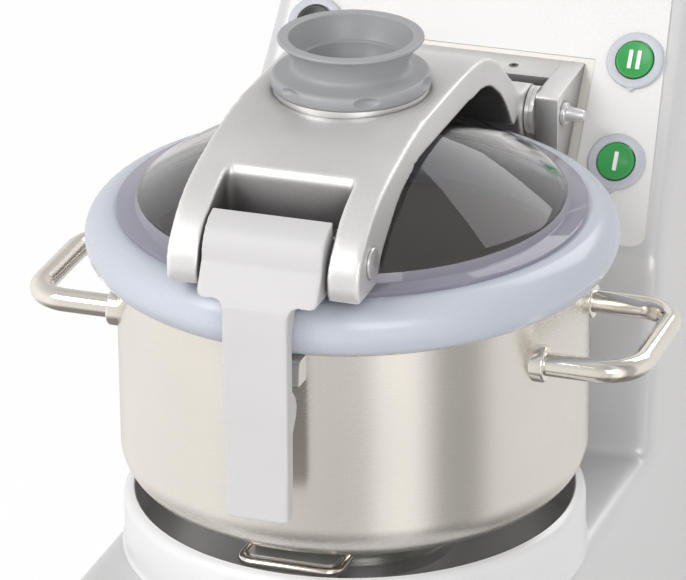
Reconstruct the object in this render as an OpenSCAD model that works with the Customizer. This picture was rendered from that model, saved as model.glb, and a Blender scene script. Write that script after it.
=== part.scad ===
// Table-top vertical cutter mixer: a motor base, a lift-off bowl, a hinged lid arm and a closing lever.
// The shapes are drawn about the bowl's axis on the floor, and placed() then centres the whole machine.

/* [Base] */
// Width of the base at its deck
base_w = 282; // [262:2:302]
// Extra width of the skirt on each side at the floor
base_flare = 8; // [0:1:14]
// Height of the deck above the floor
deck_h = 190; // [184:1:210]
// Distance from the bowl's axis to the base's front
base_front = 164; // [160:1:180]
// Distance from the bowl's axis to the base's back
base_back = 376; // [370:1:400]
// Wall of the housing
wall = 3; // [2:0.5:4]
// Rounding of the deck's edge
deck_edge_r = 12; // [8:1:16]
// Height of the feet
foot_h = 12; // [8:1:20]
// Diameter of a foot
foot_d = 38; // [28:1:44]
// Outer diameter of the collar under the bowl
collar_d = 278; // [272:1:282]
// Width of the collar's rim
collar_t = 7; // [5:0.5:9]
// Height of the collar above the deck
collar_h = 36; // [28:1:40]

/* [Column] */
// Distance from the bowl's axis to the column's front wall
column_front = 158; // [156:1:166]
// Height of the bend between the front wall and the inclined panel
bend_h = 318.4; // [300:0.5:330]
// Tilt of the control panel from the vertical
panel_tilt = 36.75; // [30:0.25:40]
// Height of the column's top above the floor
column_h = 585; // [560:1:600]
// Half width of the column at the deck
column_low = 139; // [130:1:140]
// Half width of the column at the bend
column_mid = 144; // [139:1:146]
// Half width of the column at the top
column_top = 122; // [118:1:130]
// Rounding of the column's corners
column_r = 12; // [8:1:16]

/* [Bowl] */
// Outer diameter of the bowl
bowl_d = 280; // [276:1:284]
// Height of the bowl from its underside to its rim
bowl_h = 138; // [130:1:150]
// Sheet thickness of the bowl
bowl_wall = 1.5; // [1:0.1:2.5]
// Outer radius of the bowl's lower corner
bowl_corner = 25; // [15:1:30]
// Height of the bowl's underside above the deck
bowl_lift = 45; // [42:1:50]
// Outer diameter of the bowl's central tube
tube_d = 50; // [44:1:54]
// Height of the bowl's central tube above its underside
tube_h = 84; // [70:1:92]
// Diameter of the handle bar
bar_d = 14; // [10:1:16]
// Distance from the bowl's axis to the middle of the handle's outer bar
handle_reach = 187; // [180:1:195]
// Spacing of the handle's two legs
handle_w = 96; // [86:1:110]
// Distance from the bowl's rim down to the handles
handle_drop = 31.6; // [28:0.5:45]

/* [Lid] */
// Outer diameter of the lid's soft ring
ring_d = 316; // [310:1:318]
// Height of the lid's ring
ring_h = 33; // [30:1:36]
// Diameter of the dome's foot
dome_d = 252; // [244:1:256]
// Height of the dome's crown above the bowl's rim
crown_h = 86; // [84:0.5:88]
// Thickness of the clear dome
dome_t = 2.5; // [2:0.1:3.5]
// Diameter of the flat at the dome's crown
crown_d = 94; // [90:1:98]

/* [Arm] */
// Width of the lid arm
arm_w = 115; // [110:1:118]
// Width of the gap in the arm's fork
fork_gap = 77; // [75:1:80]
// Distance from the bowl's axis to the lid hinge
hinge_y = 184; // [182:0.5:188]
// Height of the lid hinge above the bowl's rim
hinge_z = 29; // [28:0.5:31]
// Diameter of the arm's hinge boss
hinge_boss_d = 32; // [28:1:34]
// Diameter of the hinge pin
hinge_pin_d = 10; // [8:1:12]
// Distance from the bowl's axis to the lever's pin
lever_y = 132.5; // [131:0.5:134]
// Height of the lever's pin above the bowl's rim
lever_z = 56.4; // [55.5:0.5:58]
// Diameter of the lever's pin
lever_pin_d = 9; // [7:1:10]

/* [Lever] */
// Width of the lever's barrel
barrel_w = 72; // [68:1:73]
// Radius of the lever's barrel about its pin
barrel_r = 24; // [22:0.5:24.5]
// Width of the lever's handle
lever_w = 39.6; // [34:0.2:44]
// Distance of the handle's lower end below the bowl's rim
lever_drop = 96; // [80:1:110]
// Thickness of the lever's handle
lever_t = 9.5; // [7:0.5:10]

/* [Hopper] */
// Inner diameter of the hopper's mouth
mouth_d = 72; // [66:1:74]
// Outer diameter of the hopper's lip
lip_d = 86; // [82:1:90]
// Outer diameter of the hopper's flange
flange_d = 94; // [90:1:96]
// Height of the hopper above its flange
hopper_h = 30; // [26:1:36]
// Bore of the hopper's lower tube
throat_d = 48; // [40:1:54]
// Outer diameter of the hopper's lower tube
spout_d = 62; // [58:1:64]

/* [Hinge bracket] */
// Width over the bracket's cheeks
bracket_w = 146; // [142:1:150]
// Thickness of a cheek
cheek_t = 15; // [12:0.5:15]
// Height of the bracket's top above the bowl's rim
bracket_top = 44.5; // [43:0.5:48]
// Distance of the bracket's lower edge below the bowl's rim
bracket_low = 5; // [0:1:15]

/* [Controls] */
// Half distance between the two columns of buttons
button_x = 104.8; // [100:0.2:110]
// Distance up the panel from the bend to the lower buttons
button_low = 62.3; // [60:0.1:66]
// Pitch between the lower and upper buttons
button_pitch = 65.5; // [60:0.5:70]
// Diameter of a bezel
bezel_d = 36; // [32:0.5:38]
// Diameter of a button's cap
cap_d = 23.6; // [20:0.2:26]
// Travel of a button
button_travel = 3; // [2:0.5:4]
// Thickness of the panel's front plate
panel_t = 1.2; // [0.8:0.1:2]
// Half width of the recessed plate behind the hinge
recess_half = 79; // [76:0.5:84]

/* [Motor] */
// Outer diameter of the stator
stator_d = 140; // [120:1:160]
// Height of the stator
stator_h = 80; // [60:1:84]
// Outer diameter of the rotor
rotor_d = 84; // [70:1:90]
// Diameter of the shaft
shaft_d = 24; // [20:1:26]
// Diameter of the bearings
bearing_d = 52; // [47:1:56]
// Height of a bearing
bearing_h = 15; // [12:0.5:16]
// Diameter of the cooling fan
fan_d = 130; // [110:1:150]
// Radius swept by the blades
blade_r = 128; // [118:1:132]
// Thickness of a blade
blade_t = 2.5; // [2:0.1:3]

/* [Hidden] */

// Overrun of every cut
over = 1;
// Gap between faces that meet across a joint
gap = 0.3;
// Radial clearance of a shaft in its bore
run = 0.05;
// Facets of a full circle
$fn = 96;

deck_z = deck_h;
seat_z = deck_z + bowl_lift;
rim_z = seat_z + bowl_h;
bowl_r = bowl_d / 2;
collar_r = collar_d / 2;
ring_r = ring_d / 2;
hinge_h = rim_z + hinge_z;
lever_h = rim_z + lever_z;
// Place of the inclined column's rounded top
top_c = column_h - column_r;
top_y = column_front + (column_r + sin(panel_tilt) * (top_c - bend_h)) / cos(panel_tilt);
// Foremost point is the lever, hindmost the rear cover
cover_t = 2;
rear_head_h = 2.5;
lever_gap = 2.5;
lever_back = ring_r + lever_gap;
lever_front = lever_back + lever_t;
axis_y = -(base_back + cover_t + rear_head_h - lever_front) / 2;

// Arc of points about c
function arc(c, r, a0, a1, n = 8) = [for (i = [0:n]) c + r * [cos(a0 + (a1 - a0) * i / n), sin(a0 + (a1 - a0) * i / n)]];
function unit(v) = v / norm(v);
function turn(a) = a > 180 ? a - 360 : a < -180 ? a + 360 : a;
function corner(a, b, c, r, n) =
    let (u = unit(a - b), v = unit(c - b), half = acos(max(-1, min(1, u * v))) / 2,
        reach = min(r / tan(half), 0.49 * norm(a - b), 0.49 * norm(c - b)), rad = reach * tan(half),
        m = b + unit(u + v) * rad / sin(half), p = b + u * reach - m, q = b + v * reach - m,
        a0 = atan2(p[1], p[0]), sweep = turn(atan2(q[1], q[0]) - a0))
    [for (k = [0:n]) m + rad * [cos(a0 + sweep * k / n), sin(a0 + sweep * k / n)]];
// Outline with every corner rounded by its own radius
function soft(p, r, n = 5) = [for (i = [0:len(p) - 1])
    let (rad = is_list(r) ? r[i] : r, a = p[(i + len(p) - 1) % len(p)], c = p[(i + 1) % len(p)])
    each (rad > 0 ? corner(a, p[i], c, rad, n) : [p[i]])];
function box_pts(w, d) = [[-w / 2, -d / 2], [w / 2, -d / 2], [w / 2, d / 2], [-w / 2, d / 2]];

module placed() { translate([0, axis_y, 0]) children(); }
// Side outline, given as [y, z], drawn across the machine at a width
module across(w) { translate([-w / 2, 0, 0]) rotate([90, 0, 90]) linear_extrude(w) children(); }
// Frame of the inclined panel: x across, y up the slope, z outwards, from the bend
module on_panel(u = 0, v = 0) {
    translate([0, column_front, bend_h]) rotate([90 - panel_tilt, 0, 0]) translate([u, v, 0]) children();
}
module ring(r_out, r_in, h) {
    difference() {
        cylinder(r = r_out, h = h);
        translate([0, 0, -over]) cylinder(r = r_in, h = h + 2 * over);
    }
}
// Screw head with a short shank, standing along +Z
module screw(head_d, head_h, shank_d, shank_l) {
    difference() {
        cylinder(d = head_d, h = head_h);
        translate([0, 0, head_h / 2]) cylinder(d = head_d / 2, h = head_h, $fn = 6);
    }
    translate([0, 0, -shank_l]) cylinder(d = shank_d, h = shank_l + head_h / 4);
}

// Housing
front_corner_r = 60;
back_corner_r = 20;
lip_h = 1;
// Disc whose upper edge is rounded, with its top face at z = 0
module edge_disc(r, e) {
    rotate_extrude($fn = 40) polygon(concat([[0, -e - lip_h], [r, -e - lip_h]], arc([r - e, -e], e, 0, 90, 4), [[0, 0]]));
}
module base_body(t) {
    hull() for (s = [-1, 1], back = [0, 1]) {
        r = back ? back_corner_r : front_corner_r;
        y = back ? base_back - r : r - base_front;
        translate([s * (base_w / 2 - r), y, deck_z - t]) edge_disc(r - t, deck_edge_r - t);
        translate([s * (base_w / 2 + base_flare - r), y, foot_h - (t > 0 ? over : 0)]) cylinder(r = r - t, h = lip_h, $fn = 40);
    }
}
// Centres of the column's rounded corners, as [half width, y, z]
bend_c = bend_h - column_r * tan(panel_tilt / 2);
low_c = deck_z - 2 * deck_edge_r;
column_pts = [[column_low, column_front + column_r, low_c], [column_mid, column_front + column_r, bend_c],
    [column_top, top_y, top_c], [column_top, max(top_y, base_back - column_r), top_c],
    [column_low, base_back - column_r, low_c]];
module column_body(t) {
    hull() for (p = column_pts, s = [-1, 1])
        translate([s * (p[0] - column_r), p[1], p[2]]) sphere(r = column_r - t, $fn = 32);
}
collar_round = 8;
collar_fillet = 1.5;
// The collar starts below the deck's rounded edge, which it overhangs at the sides
module collar() {
    low = deck_z - deck_edge_r;
    rotate_extrude() polygon(concat([[collar_r - collar_t, low], [collar_r, low]],
        arc([collar_r + collar_fillet, deck_z + collar_fillet], collar_fillet, 270, 180, 3),
        arc([collar_r - collar_round, deck_z + collar_h - collar_round], collar_round, 0, 60, 6),
        arc([collar_r - collar_t + lip_h, deck_z + collar_h - lip_h], lip_h, 90, 180, 3)));
}
cap_hole_d = cap_d + 2 * gap;
module each_button() for (s = [-1, 1], k = [0, 1]) on_panel(s * button_x, button_low + k * button_pitch) children();
rear_open_w = 190;
rear_open_low = 70;
rear_open_top = 500;
rear_lap = 12;
shaft_hole_d = 60;
rear_screw_d = 5;
module rear_screw_places(y) {
    for (s = [-1, 1], z = [rear_open_low, (rear_open_low + rear_open_top) / 2, rear_open_top])
        translate([s * (rear_open_w + rear_lap) / 2, y, z]) rotate([-90, 0, 0]) children();
}
module housing() {
    color("silver") difference() {
        union() {
            difference() {
                union() {
                    base_body(0);
                    column_body(0);
                }
                base_body(wall);
                column_body(wall);
            }
            collar();
            lug_places(foot_h + plate_t) translate([-lug_w / 2 - lip_h, -lug_w / 2, 0])
                cube([lug_w + 2 * lip_h, lug_w, lug_h]);
        }
        lug_places(foot_h) cylinder(d = lug_screw_d, h = lug_h + plate_t + over);
        translate([0, 0, deck_z - wall - over]) cylinder(d = shaft_hole_d, h = wall + 2 * over);
        translate([-rear_open_w / 2 + rear_lap / 2, base_back - wall - over, rear_open_low + rear_lap / 2])
            cube([rear_open_w - rear_lap, wall + 2 * over, rear_open_top - rear_open_low - rear_lap]);
        rear_screw_places(base_back - wall - over) cylinder(d = rear_screw_d, h = wall + 2 * over);
        each_button() translate([0, 0, -wall - over]) cylinder(d = cap_hole_d, h = wall + 2 * over);
    }
}

// Bottom plate, feet and rear cover
plate_t = 2;
foot_side = 37;
foot_x = base_w / 2 - foot_side;
foot_front = 96;
foot_back = 328;
foot_screw_d = 6;
gland_side = 83;
gland_x = gland_side - base_w / 2;
gland_y = 318;
gland_d = 25;
vent_w = 5;
vent_l = 70;
vent_pitch = 12;
vent_n = 6;
lug_screw_d = 4;
lug_w = 15;
lug_h = 12;
lug_y = [-62, 120, 300];
plate_half = base_w / 2 + base_flare - wall - gap;
plate_front = wall + gap - base_front;
plate_back = base_back - wall - gap;
lug_x = plate_half - lug_w / 2;
module foot_places(z) {
    for (s = [-1, 1], y = [-foot_front, foot_back]) translate([s * foot_x, y, z]) children();
}
module lug_places(z) {
    for (s = [-1, 1], y = lug_y) translate([s * lug_x, y, z]) children();
}
module base_plate() {
    r = front_corner_r - wall - gap;
    q = back_corner_r - wall - gap;
    color("gainsboro") difference() {
        translate([0, 0, foot_h]) linear_extrude(plate_t) polygon(soft([[-plate_half, plate_front],
            [plate_half, plate_front], [plate_half, plate_back], [-plate_half, plate_back]], [r, r, q, q], 8));
        foot_places(foot_h - over) cylinder(d = foot_screw_d, h = plate_t + 2 * over);
        lug_places(foot_h - over) cylinder(d = lug_screw_d, h = plate_t + 2 * over);
        shield_foot_places(foot_h - over) cylinder(d = leg_screw_d, h = plate_t + 2 * over);
        translate([gland_x, gland_y, foot_h - over]) cylinder(d = gland_d, h = plate_t + 2 * over);
        for (i = [0:vent_n - 1])
            translate([(i - (vent_n - 1) / 2) * vent_pitch - vent_w / 2, -vent_l / 2, foot_h - over])
                cube([vent_w, vent_l, plate_t + 2 * over]);
    }
}
foot_recess_d = 16;
foot_head_h = 4;
foot_taper = 3;
module feet() {
    color("dimgray") foot_places(0) difference() {
        cylinder(d1 = foot_d - 2 * foot_taper, d2 = foot_d, h = foot_h);
        translate([0, 0, -over]) cylinder(d = foot_recess_d, h = foot_h / 2 + over);
        translate([0, 0, -over]) cylinder(d = foot_screw_d, h = foot_h + 2 * over);
    }
}
module foot_screws() {
    color("silver") foot_places(foot_h / 2) rotate([180, 0, 0])
        screw(foot_recess_d - 2 * foot_taper, foot_head_h, foot_screw_d, foot_h / 2 + plate_t + foot_head_h);
}
// Screws up through the bottom plate, into the motor's legs and the housing's lugs
base_head_h = 3;
module base_screws() {
    color("silver") {
        shield_foot_places(foot_h) rotate([180, 0, 0]) screw(2 * leg_screw_d, base_head_h, leg_screw_d, leg_d);
        lug_places(foot_h) rotate([180, 0, 0]) screw(2 * lug_screw_d, base_head_h, lug_screw_d, lug_h);
    }
}
slot_w = 110;
slot_h = 5;
slot_pitch = 16;
slot_n = 9;
module rear_cover() {
    w = rear_open_w + 2 * rear_lap;
    h = rear_open_top - rear_open_low + 2 * rear_lap;
    mid = (rear_open_top + rear_open_low) / 2;
    color("silver") difference() {
        union() {
            translate([0, base_back + cover_t, mid]) rotate([90, 0, 0])
                linear_extrude(cover_t) polygon(soft(box_pts(w, h), rear_lap, 5));
            translate([-rear_open_w / 2 + rear_lap, base_back - wall, rear_open_low + rear_lap])
                cube([rear_open_w - 2 * rear_lap, wall, rear_open_top - rear_open_low - 2 * rear_lap]);
        }
        translate([-rear_open_w / 2 + rear_lap + cover_t, base_back - wall - over, rear_open_low + rear_lap + cover_t])
            cube([rear_open_w - 2 * rear_lap - 2 * cover_t, wall + over,
                rear_open_top - rear_open_low - 2 * rear_lap - 2 * cover_t]);
        rear_screw_places(base_back - over) cylinder(d = rear_screw_d, h = cover_t + 2 * over);
        for (i = [0:slot_n - 1])
            translate([-slot_w / 2, base_back - over, rear_open_low + 2 * rear_lap + i * slot_pitch])
                cube([slot_w, cover_t + 2 * over, slot_h]);
    }
}
rear_head_d = 9;
module rear_cover_screws() {
    color("silver") rear_screw_places(base_back + cover_t)
        screw(rear_head_d, rear_head_h, rear_screw_d, cover_t + wall);
}

// Control panel, hinge plate and buttons
panel_margin = 12;
panel_low = 10.7;
panel_round = 9;
slope_len = (top_c - bend_h) / cos(panel_tilt);
panel_top = slope_len - panel_margin;
recess_low = panel_low + 3;
recess_top = 126;
// Half width of the column's face at a distance up the slope
function face_half(v) = column_mid + (column_top - column_mid) * v / slope_len;
module control_panel() {
    color("white") difference() {
        on_panel() linear_extrude(panel_t) polygon(soft([[-face_half(panel_low) + panel_margin, panel_low],
            [face_half(panel_low) - panel_margin, panel_low], [face_half(panel_top) - panel_margin, panel_top],
            [-face_half(panel_top) + panel_margin, panel_top]], panel_round, 6));
        on_panel(0, 0) translate([-recess_half - gap, recess_low - gap, -over])
            cube([2 * (recess_half + gap), recess_top - recess_low + 2 * gap, panel_t + 2 * over]);
        each_button() translate([0, 0, -over]) cylinder(d = cap_hole_d, h = panel_t + 2 * over);
    }
}
hinge_plate_t = panel_t / 2;
plate_screw_d = 3;
module hinge_plate() {
    color("antiquewhite") on_panel() translate([-recess_half, recess_low, 0])
        cube([2 * recess_half, recess_top - recess_low, hinge_plate_t]);
    color("gray") for (s = [-1, 1]) on_panel(s * (recess_half - plate_screw_d), recess_top - 4 * plate_screw_d)
        translate([0, 0, hinge_plate_t]) cylinder(d = plate_screw_d, h = panel_t / 2);
}
bezel_h = 3;
bezel_point = 3;
module button_bezels() {
    color("lightgray") each_button() translate([0, 0, panel_t]) difference() {
        union() {
            cylinder(d = bezel_d, h = bezel_h);
            translate([0, -bezel_d / 2 + bezel_point / 2, 0]) rotate([0, 0, 45])
                translate([-bezel_point, -bezel_point, 0]) cube([2 * bezel_point, 2 * bezel_point, bezel_h]);
        }
        translate([0, 0, -over]) cylinder(d = cap_hole_d, h = bezel_h + 2 * over);
    }
}
cap_h = 4;
stem_d = 8;
stem_l = 12;
block_w = 30;
block_h = 34;
module cap_at(s, k) {
    on_panel(s * button_x, button_low + k * button_pitch) {
        translate([0, 0, panel_t]) cylinder(d = cap_d, h = cap_h);
        translate([0, 0, panel_t - stem_l - wall]) cylinder(d = stem_d, h = stem_l + wall + lip_h);
    }
}
mark_w = 2.6;
mark_h = 12;
mark_t = 0.4;
module mark_at(s, k, x) {
    on_panel(s * button_x, button_low + k * button_pitch)
        translate([x - mark_w / 2, -mark_h / 2, panel_t + cap_h]) cube([mark_w, mark_h, mark_t]);
}
module cap_one() { color("forestgreen") cap_at(1, 0); }
module cap_two() { color("forestgreen") cap_at(1, 1); }
module cap_pulse() { color("black") cap_at(-1, 1); }
module cap_stop() { color("firebrick") cap_at(-1, 0); }
module mark_one() { color("white") mark_at(1, 0, 0); }
module mark_two() { color("white") for (x = [-mark_w, mark_w]) mark_at(1, 1, x); }
module switch_blocks() {
    color("dimgray") each_button() difference() {
        translate([-block_w / 2, -block_w / 2, -wall - block_h]) cube([block_w, block_w, block_h]);
        translate([0, 0, -wall - block_h + wall]) cylinder(d = stem_d + 4 * gap, h = block_h);
        translate([0, 0, -wall - button_travel]) cylinder(d = cap_hole_d, h = button_travel + over);
    }
}
lid_switch_w = 24;
module lid_switch() {
    color("black") on_panel(0, button_low) translate([-lid_switch_w / 2, -lid_switch_w / 2, -wall - lid_switch_w])
        cube([lid_switch_w, lid_switch_w, lid_switch_w]);
}

// Hinge bracket, pin and washers
panel_y_top = column_front + tan(panel_tilt) * (rim_z + bracket_top - bend_h);
panel_y_low = column_front + tan(panel_tilt) * (rim_z - bracket_low - bend_h);
plate_off = hinge_plate_t / cos(panel_tilt);
cheek_inset = 6;
cheek_front = hinge_y - hinge_boss_d / 2 + cheek_inset;
cheek_nose = 8;
boss_room = 6;
web_front = hinge_y + hinge_boss_d / 2 + boss_room;
bracket_round = 3;
bracket_screw_x = 31;
bracket_screw_d = 6;
function panel_z(y) = bend_h + (y - column_front) / tan(panel_tilt);
module cheek_side() {
    polygon(soft([[panel_y_top - plate_off, rim_z + bracket_top], [cheek_front, rim_z + bracket_top - 2 * lip_h],
        [cheek_front, rim_z + bracket_low + lip_h], [cheek_front + cheek_nose, rim_z - bracket_low],
        [panel_y_low - plate_off, rim_z - bracket_low]], [0, bracket_round, bracket_round, lip_h, 0], 4));
}
module web_side() {
    polygon([[panel_y_top - plate_off, rim_z + bracket_top], [web_front, rim_z + bracket_top - 2 * lip_h],
        [web_front, panel_z(web_front + plate_off)]]);
}
module hinge_bracket() {
    color("lightgray") difference() {
        union() {
            for (s = [-1, 1]) translate([s * (bracket_w - cheek_t) / 2, 0, 0]) across(cheek_t) cheek_side();
            across(bracket_w - cheek_t) web_side();
        }
        translate([-bracket_w / 2 - over, hinge_y, hinge_h]) rotate([0, 90, 0])
            cylinder(d = hinge_pin_d, h = bracket_w + 2 * over);
        for (s = [-1, 1]) translate([s * bracket_screw_x, bracket_screw_y, rim_z + bracket_top - bracket_screw_l])
            cylinder(d = bracket_screw_d, h = bracket_screw_l + over);
    }
}
bracket_screw_y = (web_front + panel_y_top) / 2 - 2 * lip_h;
bracket_screw_l = 13;
bracket_head_h = 3;
module bracket_screws() {
    color("gray") for (s = [-1, 1]) translate([s * bracket_screw_x, bracket_screw_y, rim_z + bracket_top - bracket_head_h])
        difference() {
            translate([0, 0, bracket_head_h - bracket_screw_l]) cylinder(d = bracket_screw_d, h = bracket_screw_l - lip_h);
            cylinder(d = bracket_screw_d / 2, h = bracket_head_h + over, $fn = 6);
        }
}
pin_collar_d = 14;
pin_collar_t = 3;
pin_stud_l = 11;
pin_tip_d = 6.5;
module hinge_pin() {
    half = bracket_w / 2;
    color("silver") translate([0, hinge_y, hinge_h]) rotate([0, 90, 0]) {
        translate([0, 0, -half]) cylinder(d = hinge_pin_d, h = bracket_w);
        for (z = [-half - pin_collar_t, half]) translate([0, 0, z]) cylinder(d = pin_collar_d, h = pin_collar_t);
        translate([0, 0, half + pin_collar_t]) cylinder(d1 = hinge_pin_d, d2 = pin_tip_d, h = pin_stud_l);
    }
}
boss_w = 104;
washer_n = 2;
washer_gap = 0.2;
washer_room = (bracket_w / 2 - cheek_t) - boss_w / 2;
washer_t = (washer_room - gap) / washer_n - washer_gap;
module hinge_washers() {
    color("silver") for (s = [-1, 1], i = [0:washer_n - 1]) translate([0, hinge_y, hinge_h]) rotate([0, s * 90, 0])
        translate([0, 0, bracket_w / 2 - cheek_t - washer_t - i * (washer_t + washer_gap)])
            ring(hinge_boss_d / 2 - lip_h, hinge_pin_d / 2, washer_t);
}

// Bowl, handles, catch and loop
tube_r = tube_d / 2;
rim_lip = 2;
module bowl() {
    inner = bowl_r - bowl_wall;
    corner_in = bowl_corner - bowl_wall;
    color("gainsboro") rotate_extrude($fn = 144) polygon(concat(
        [[tube_r - bowl_wall, seat_z]],
        arc([bowl_r - bowl_corner, seat_z + bowl_corner], bowl_corner, 270, 360, 8),
        [[bowl_r, rim_z - rim_lip], [bowl_r + rim_lip, rim_z - rim_lip], [bowl_r + rim_lip, rim_z], [inner, rim_z]],
        arc([bowl_r - bowl_corner, seat_z + bowl_corner], corner_in, 360, 270, 8),
        [[tube_r, seat_z + bowl_wall], [tube_r, seat_z + tube_h], [tube_r - bowl_wall, seat_z + tube_h]]));
}
handle_bend = 22;
handle_flange_d = 22;
handle_flange_t = 4;
module handle(s) {
    z = rim_z - handle_drop;
    leg = handle_reach - handle_bend;
    root = sqrt(pow(bowl_r, 2) - pow(handle_w / 2, 2));
    start = root - handle_flange_d / 2;
    color("silver") difference() {
        mirror([s < 0 ? 1 : 0, 0, 0]) translate([0, 0, z]) {
            for (m = [-1, 1]) {
                translate([start, m * handle_w / 2, 0]) rotate([0, 90, 0]) cylinder(d = bar_d, h = leg - start);
                translate([start, m * handle_w / 2, 0]) rotate([0, 90, 0])
                    cylinder(d = handle_flange_d, h = root - start + handle_flange_t);
                translate([leg, m * (handle_w / 2 - handle_bend), 0]) mirror([0, m < 0 ? 1 : 0, 0])
                    rotate_extrude(angle = 90) translate([handle_bend, 0]) circle(d = bar_d, $fn = 48);
            }
            translate([handle_reach, -handle_w / 2 + handle_bend, 0]) rotate([-90, 0, 0])
                cylinder(d = bar_d, h = handle_w - 2 * handle_bend);
        }
        translate([0, 0, z - handle_flange_d]) cylinder(r = bowl_r, h = 2 * handle_flange_d, $fn = 144);
    }
}
module handle_left() { handle(-1); }
module handle_right() { handle(1); }
catch_w = 39;
catch_top = 3;
catch_h = 15;
catch_out = 11.5;
catch_root = 3;
module bowl_catch() {
    z = rim_z - catch_top;
    color("gainsboro") difference() {
        across(catch_w) polygon(soft([[-bowl_r + catch_root, z - catch_h], [-bowl_r - catch_out, z - catch_h],
            [-bowl_r - catch_out + 2 * lip_h, z], [-bowl_r + catch_root, z]], [0, 2 * lip_h, 4 * lip_h, 0], 4));
        translate([0, 0, z - 2 * catch_h]) cylinder(r = bowl_r, h = 3 * catch_h, $fn = 144);
    }
}
loop_d = 6;
loop_w = 60;
loop_front = 121;
loop_l = 24;
loop_bend = 8;
loop_drop = 11;
module bowl_loop() {
    half = loop_w / 2;
    color("silver") translate([0, 0, seat_z - loop_drop]) for (s = [-1, 1]) mirror([s < 0 ? 1 : 0, 0, 0]) {
        translate([0, -loop_front, 0]) rotate([0, 90, 0]) cylinder(d = loop_d, h = half - loop_bend);
        translate([half - loop_bend, -loop_front + loop_bend, 0]) rotate([0, 0, -90]) rotate_extrude(angle = 90)
            translate([loop_bend, 0]) circle(d = loop_d, $fn = 32);
        translate([half, -loop_front + loop_bend, 0]) rotate([-90, 0, 0]) cylinder(d = loop_d, h = loop_l - loop_bend);
        translate([half, -loop_front + loop_l, 0]) sphere(d = loop_d, $fn = 32);
        translate([half, -loop_front + loop_l, 0]) cylinder(d = loop_d, h = loop_drop);
    }
}

// Motor and drive, all about the bowl's axis
shield_h = 24;
shield_rim = 8;
shield_plate = 4;
stator_top = deck_z - wall - shield_h;
stator_low = stator_top - stator_h;
stator_r = stator_d / 2;
bearing_r = bearing_d / 2;
shaft_r = shaft_d / 2;
bearing_gap = 3;
bolt_d = 5;
bolt_n = 4;
leg_d = 14;
leg_screw_d = 5;
leg_ring_r = stator_r - leg_d / 2 - lip_h;
module motor_bolt_places(z) {
    for (i = [0:bolt_n - 1]) rotate(45 + i * 360 / bolt_n) translate([stator_r - shield_rim / 2, 0, z]) children();
}
module shield_foot_places(z) {
    for (i = [0:bolt_n - 1]) rotate(i * 360 / bolt_n) translate([leg_ring_r, 0, z]) children();
}
shield_foot_h = stator_low - shield_h - foot_h - plate_t;
// End shield with its open side at z = 0
module shield() {
    difference() {
        union() {
            ring(stator_r, stator_r - shield_rim, shield_h);
            translate([0, 0, shield_h - shield_plate]) ring(stator_r, shaft_r + lip_h, shield_plate);
            translate([0, 0, bearing_gap]) ring(bearing_r + shield_plate, bearing_r, shield_h - bearing_gap);
            translate([0, 0, bearing_gap + bearing_h])
                ring(bearing_r + lip_h, shaft_r + lip_h, shield_h - bearing_gap - bearing_h);
        }
        motor_bolt_places(-over) cylinder(d = bolt_d, h = shield_h + 2 * over);
    }
}
module motor_end_shields() {
    color("darkgray") {
        translate([0, 0, stator_top]) shield();
        difference() {
            union() {
                translate([0, 0, stator_low]) mirror([0, 0, 1]) shield();
                shield_foot_places(foot_h + plate_t) cylinder(d = leg_d, h = shield_foot_h);
            }
            shield_foot_places(foot_h) cylinder(d = leg_screw_d, h = leg_d + plate_t);
        }
    }
}
module motor_stator() {
    color("dimgray") difference() {
        translate([0, 0, stator_low]) ring(stator_r, rotor_d / 2 + lip_h / 2, stator_h);
        motor_bolt_places(stator_low - over) cylinder(d = bolt_d, h = stator_h + 2 * over);
    }
}
winding_h = 13;
winding_in = 4;
module motor_windings() {
    color("peru") for (z = [stator_top, stator_low - winding_h]) translate([0, 0, z])
        ring(stator_r - shield_rim - 2 * lip_h, rotor_d / 2 + winding_in, winding_h);
}
module motor_bearings() {
    color("silver") for (z = [stator_top + bearing_gap, stator_low - bearing_gap - bearing_h]) translate([0, 0, z])
        ring(bearing_r, shaft_r + run, bearing_h);
}
module motor_bolts() {
    low = stator_low - shield_h;
    color("silver") motor_bolt_places(low) {
        cylinder(d = bolt_d, h = deck_z - wall - low);
        translate([0, 0, -bolt_d]) cylinder(d = 2 * bolt_d, h = bolt_d, $fn = 6);
    }
}
module motor_rotor() {
    color("gray") translate([0, 0, stator_low]) ring(rotor_d / 2, shaft_r, stator_h);
}
fan_h = 14;
fan_gap = 8;
fan_n = 9;
fan_hub_d = 40;
fan_z = stator_low - shield_h - fan_gap - fan_h;
shaft_top = seat_z + tube_h + bearing_gap + bearing_gap;
module motor_shaft() {
    color("silver") translate([0, 0, fan_z - lip_h]) cylinder(d = shaft_d, h = shaft_top - fan_z + lip_h);
}
leg_room = 3;
module motor_fan() {
    r = min(fan_d / 2, leg_ring_r - leg_d / 2 - leg_room);
    color("black") translate([0, 0, fan_z]) difference() {
        union() {
            cylinder(r = r, h = plate_t);
            cylinder(d = fan_hub_d, h = fan_h);
            for (i = [0:fan_n - 1]) rotate(i * 360 / fan_n) translate([fan_hub_d / 2 - lip_h, -plate_t / 2, plate_t / 2])
                cube([r - fan_hub_d / 2, plate_t, fan_h - plate_t / 2 - lip_h]);
        }
        translate([0, 0, -over]) cylinder(d = shaft_d, h = fan_h + 2 * over);
    }
}
seat_flange_r = 62;
seat_flange_h = 8;
seat_r = 56;
seat_inset = 1.3;
seat_bore_r = tube_r - bowl_wall - seat_inset;
seal_h = 9;
module bowl_seat() {
    color("gainsboro") rotate_extrude() polygon([[seat_bore_r, deck_z], [seat_flange_r, deck_z],
        [seat_flange_r, deck_z + seat_flange_h - lip_h], [seat_flange_r - lip_h, deck_z + seat_flange_h],
        [seat_r, deck_z + seat_flange_h], [seat_r, seat_z - lip_h], [seat_r - lip_h, seat_z], [seat_bore_r, seat_z]]);
}
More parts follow.
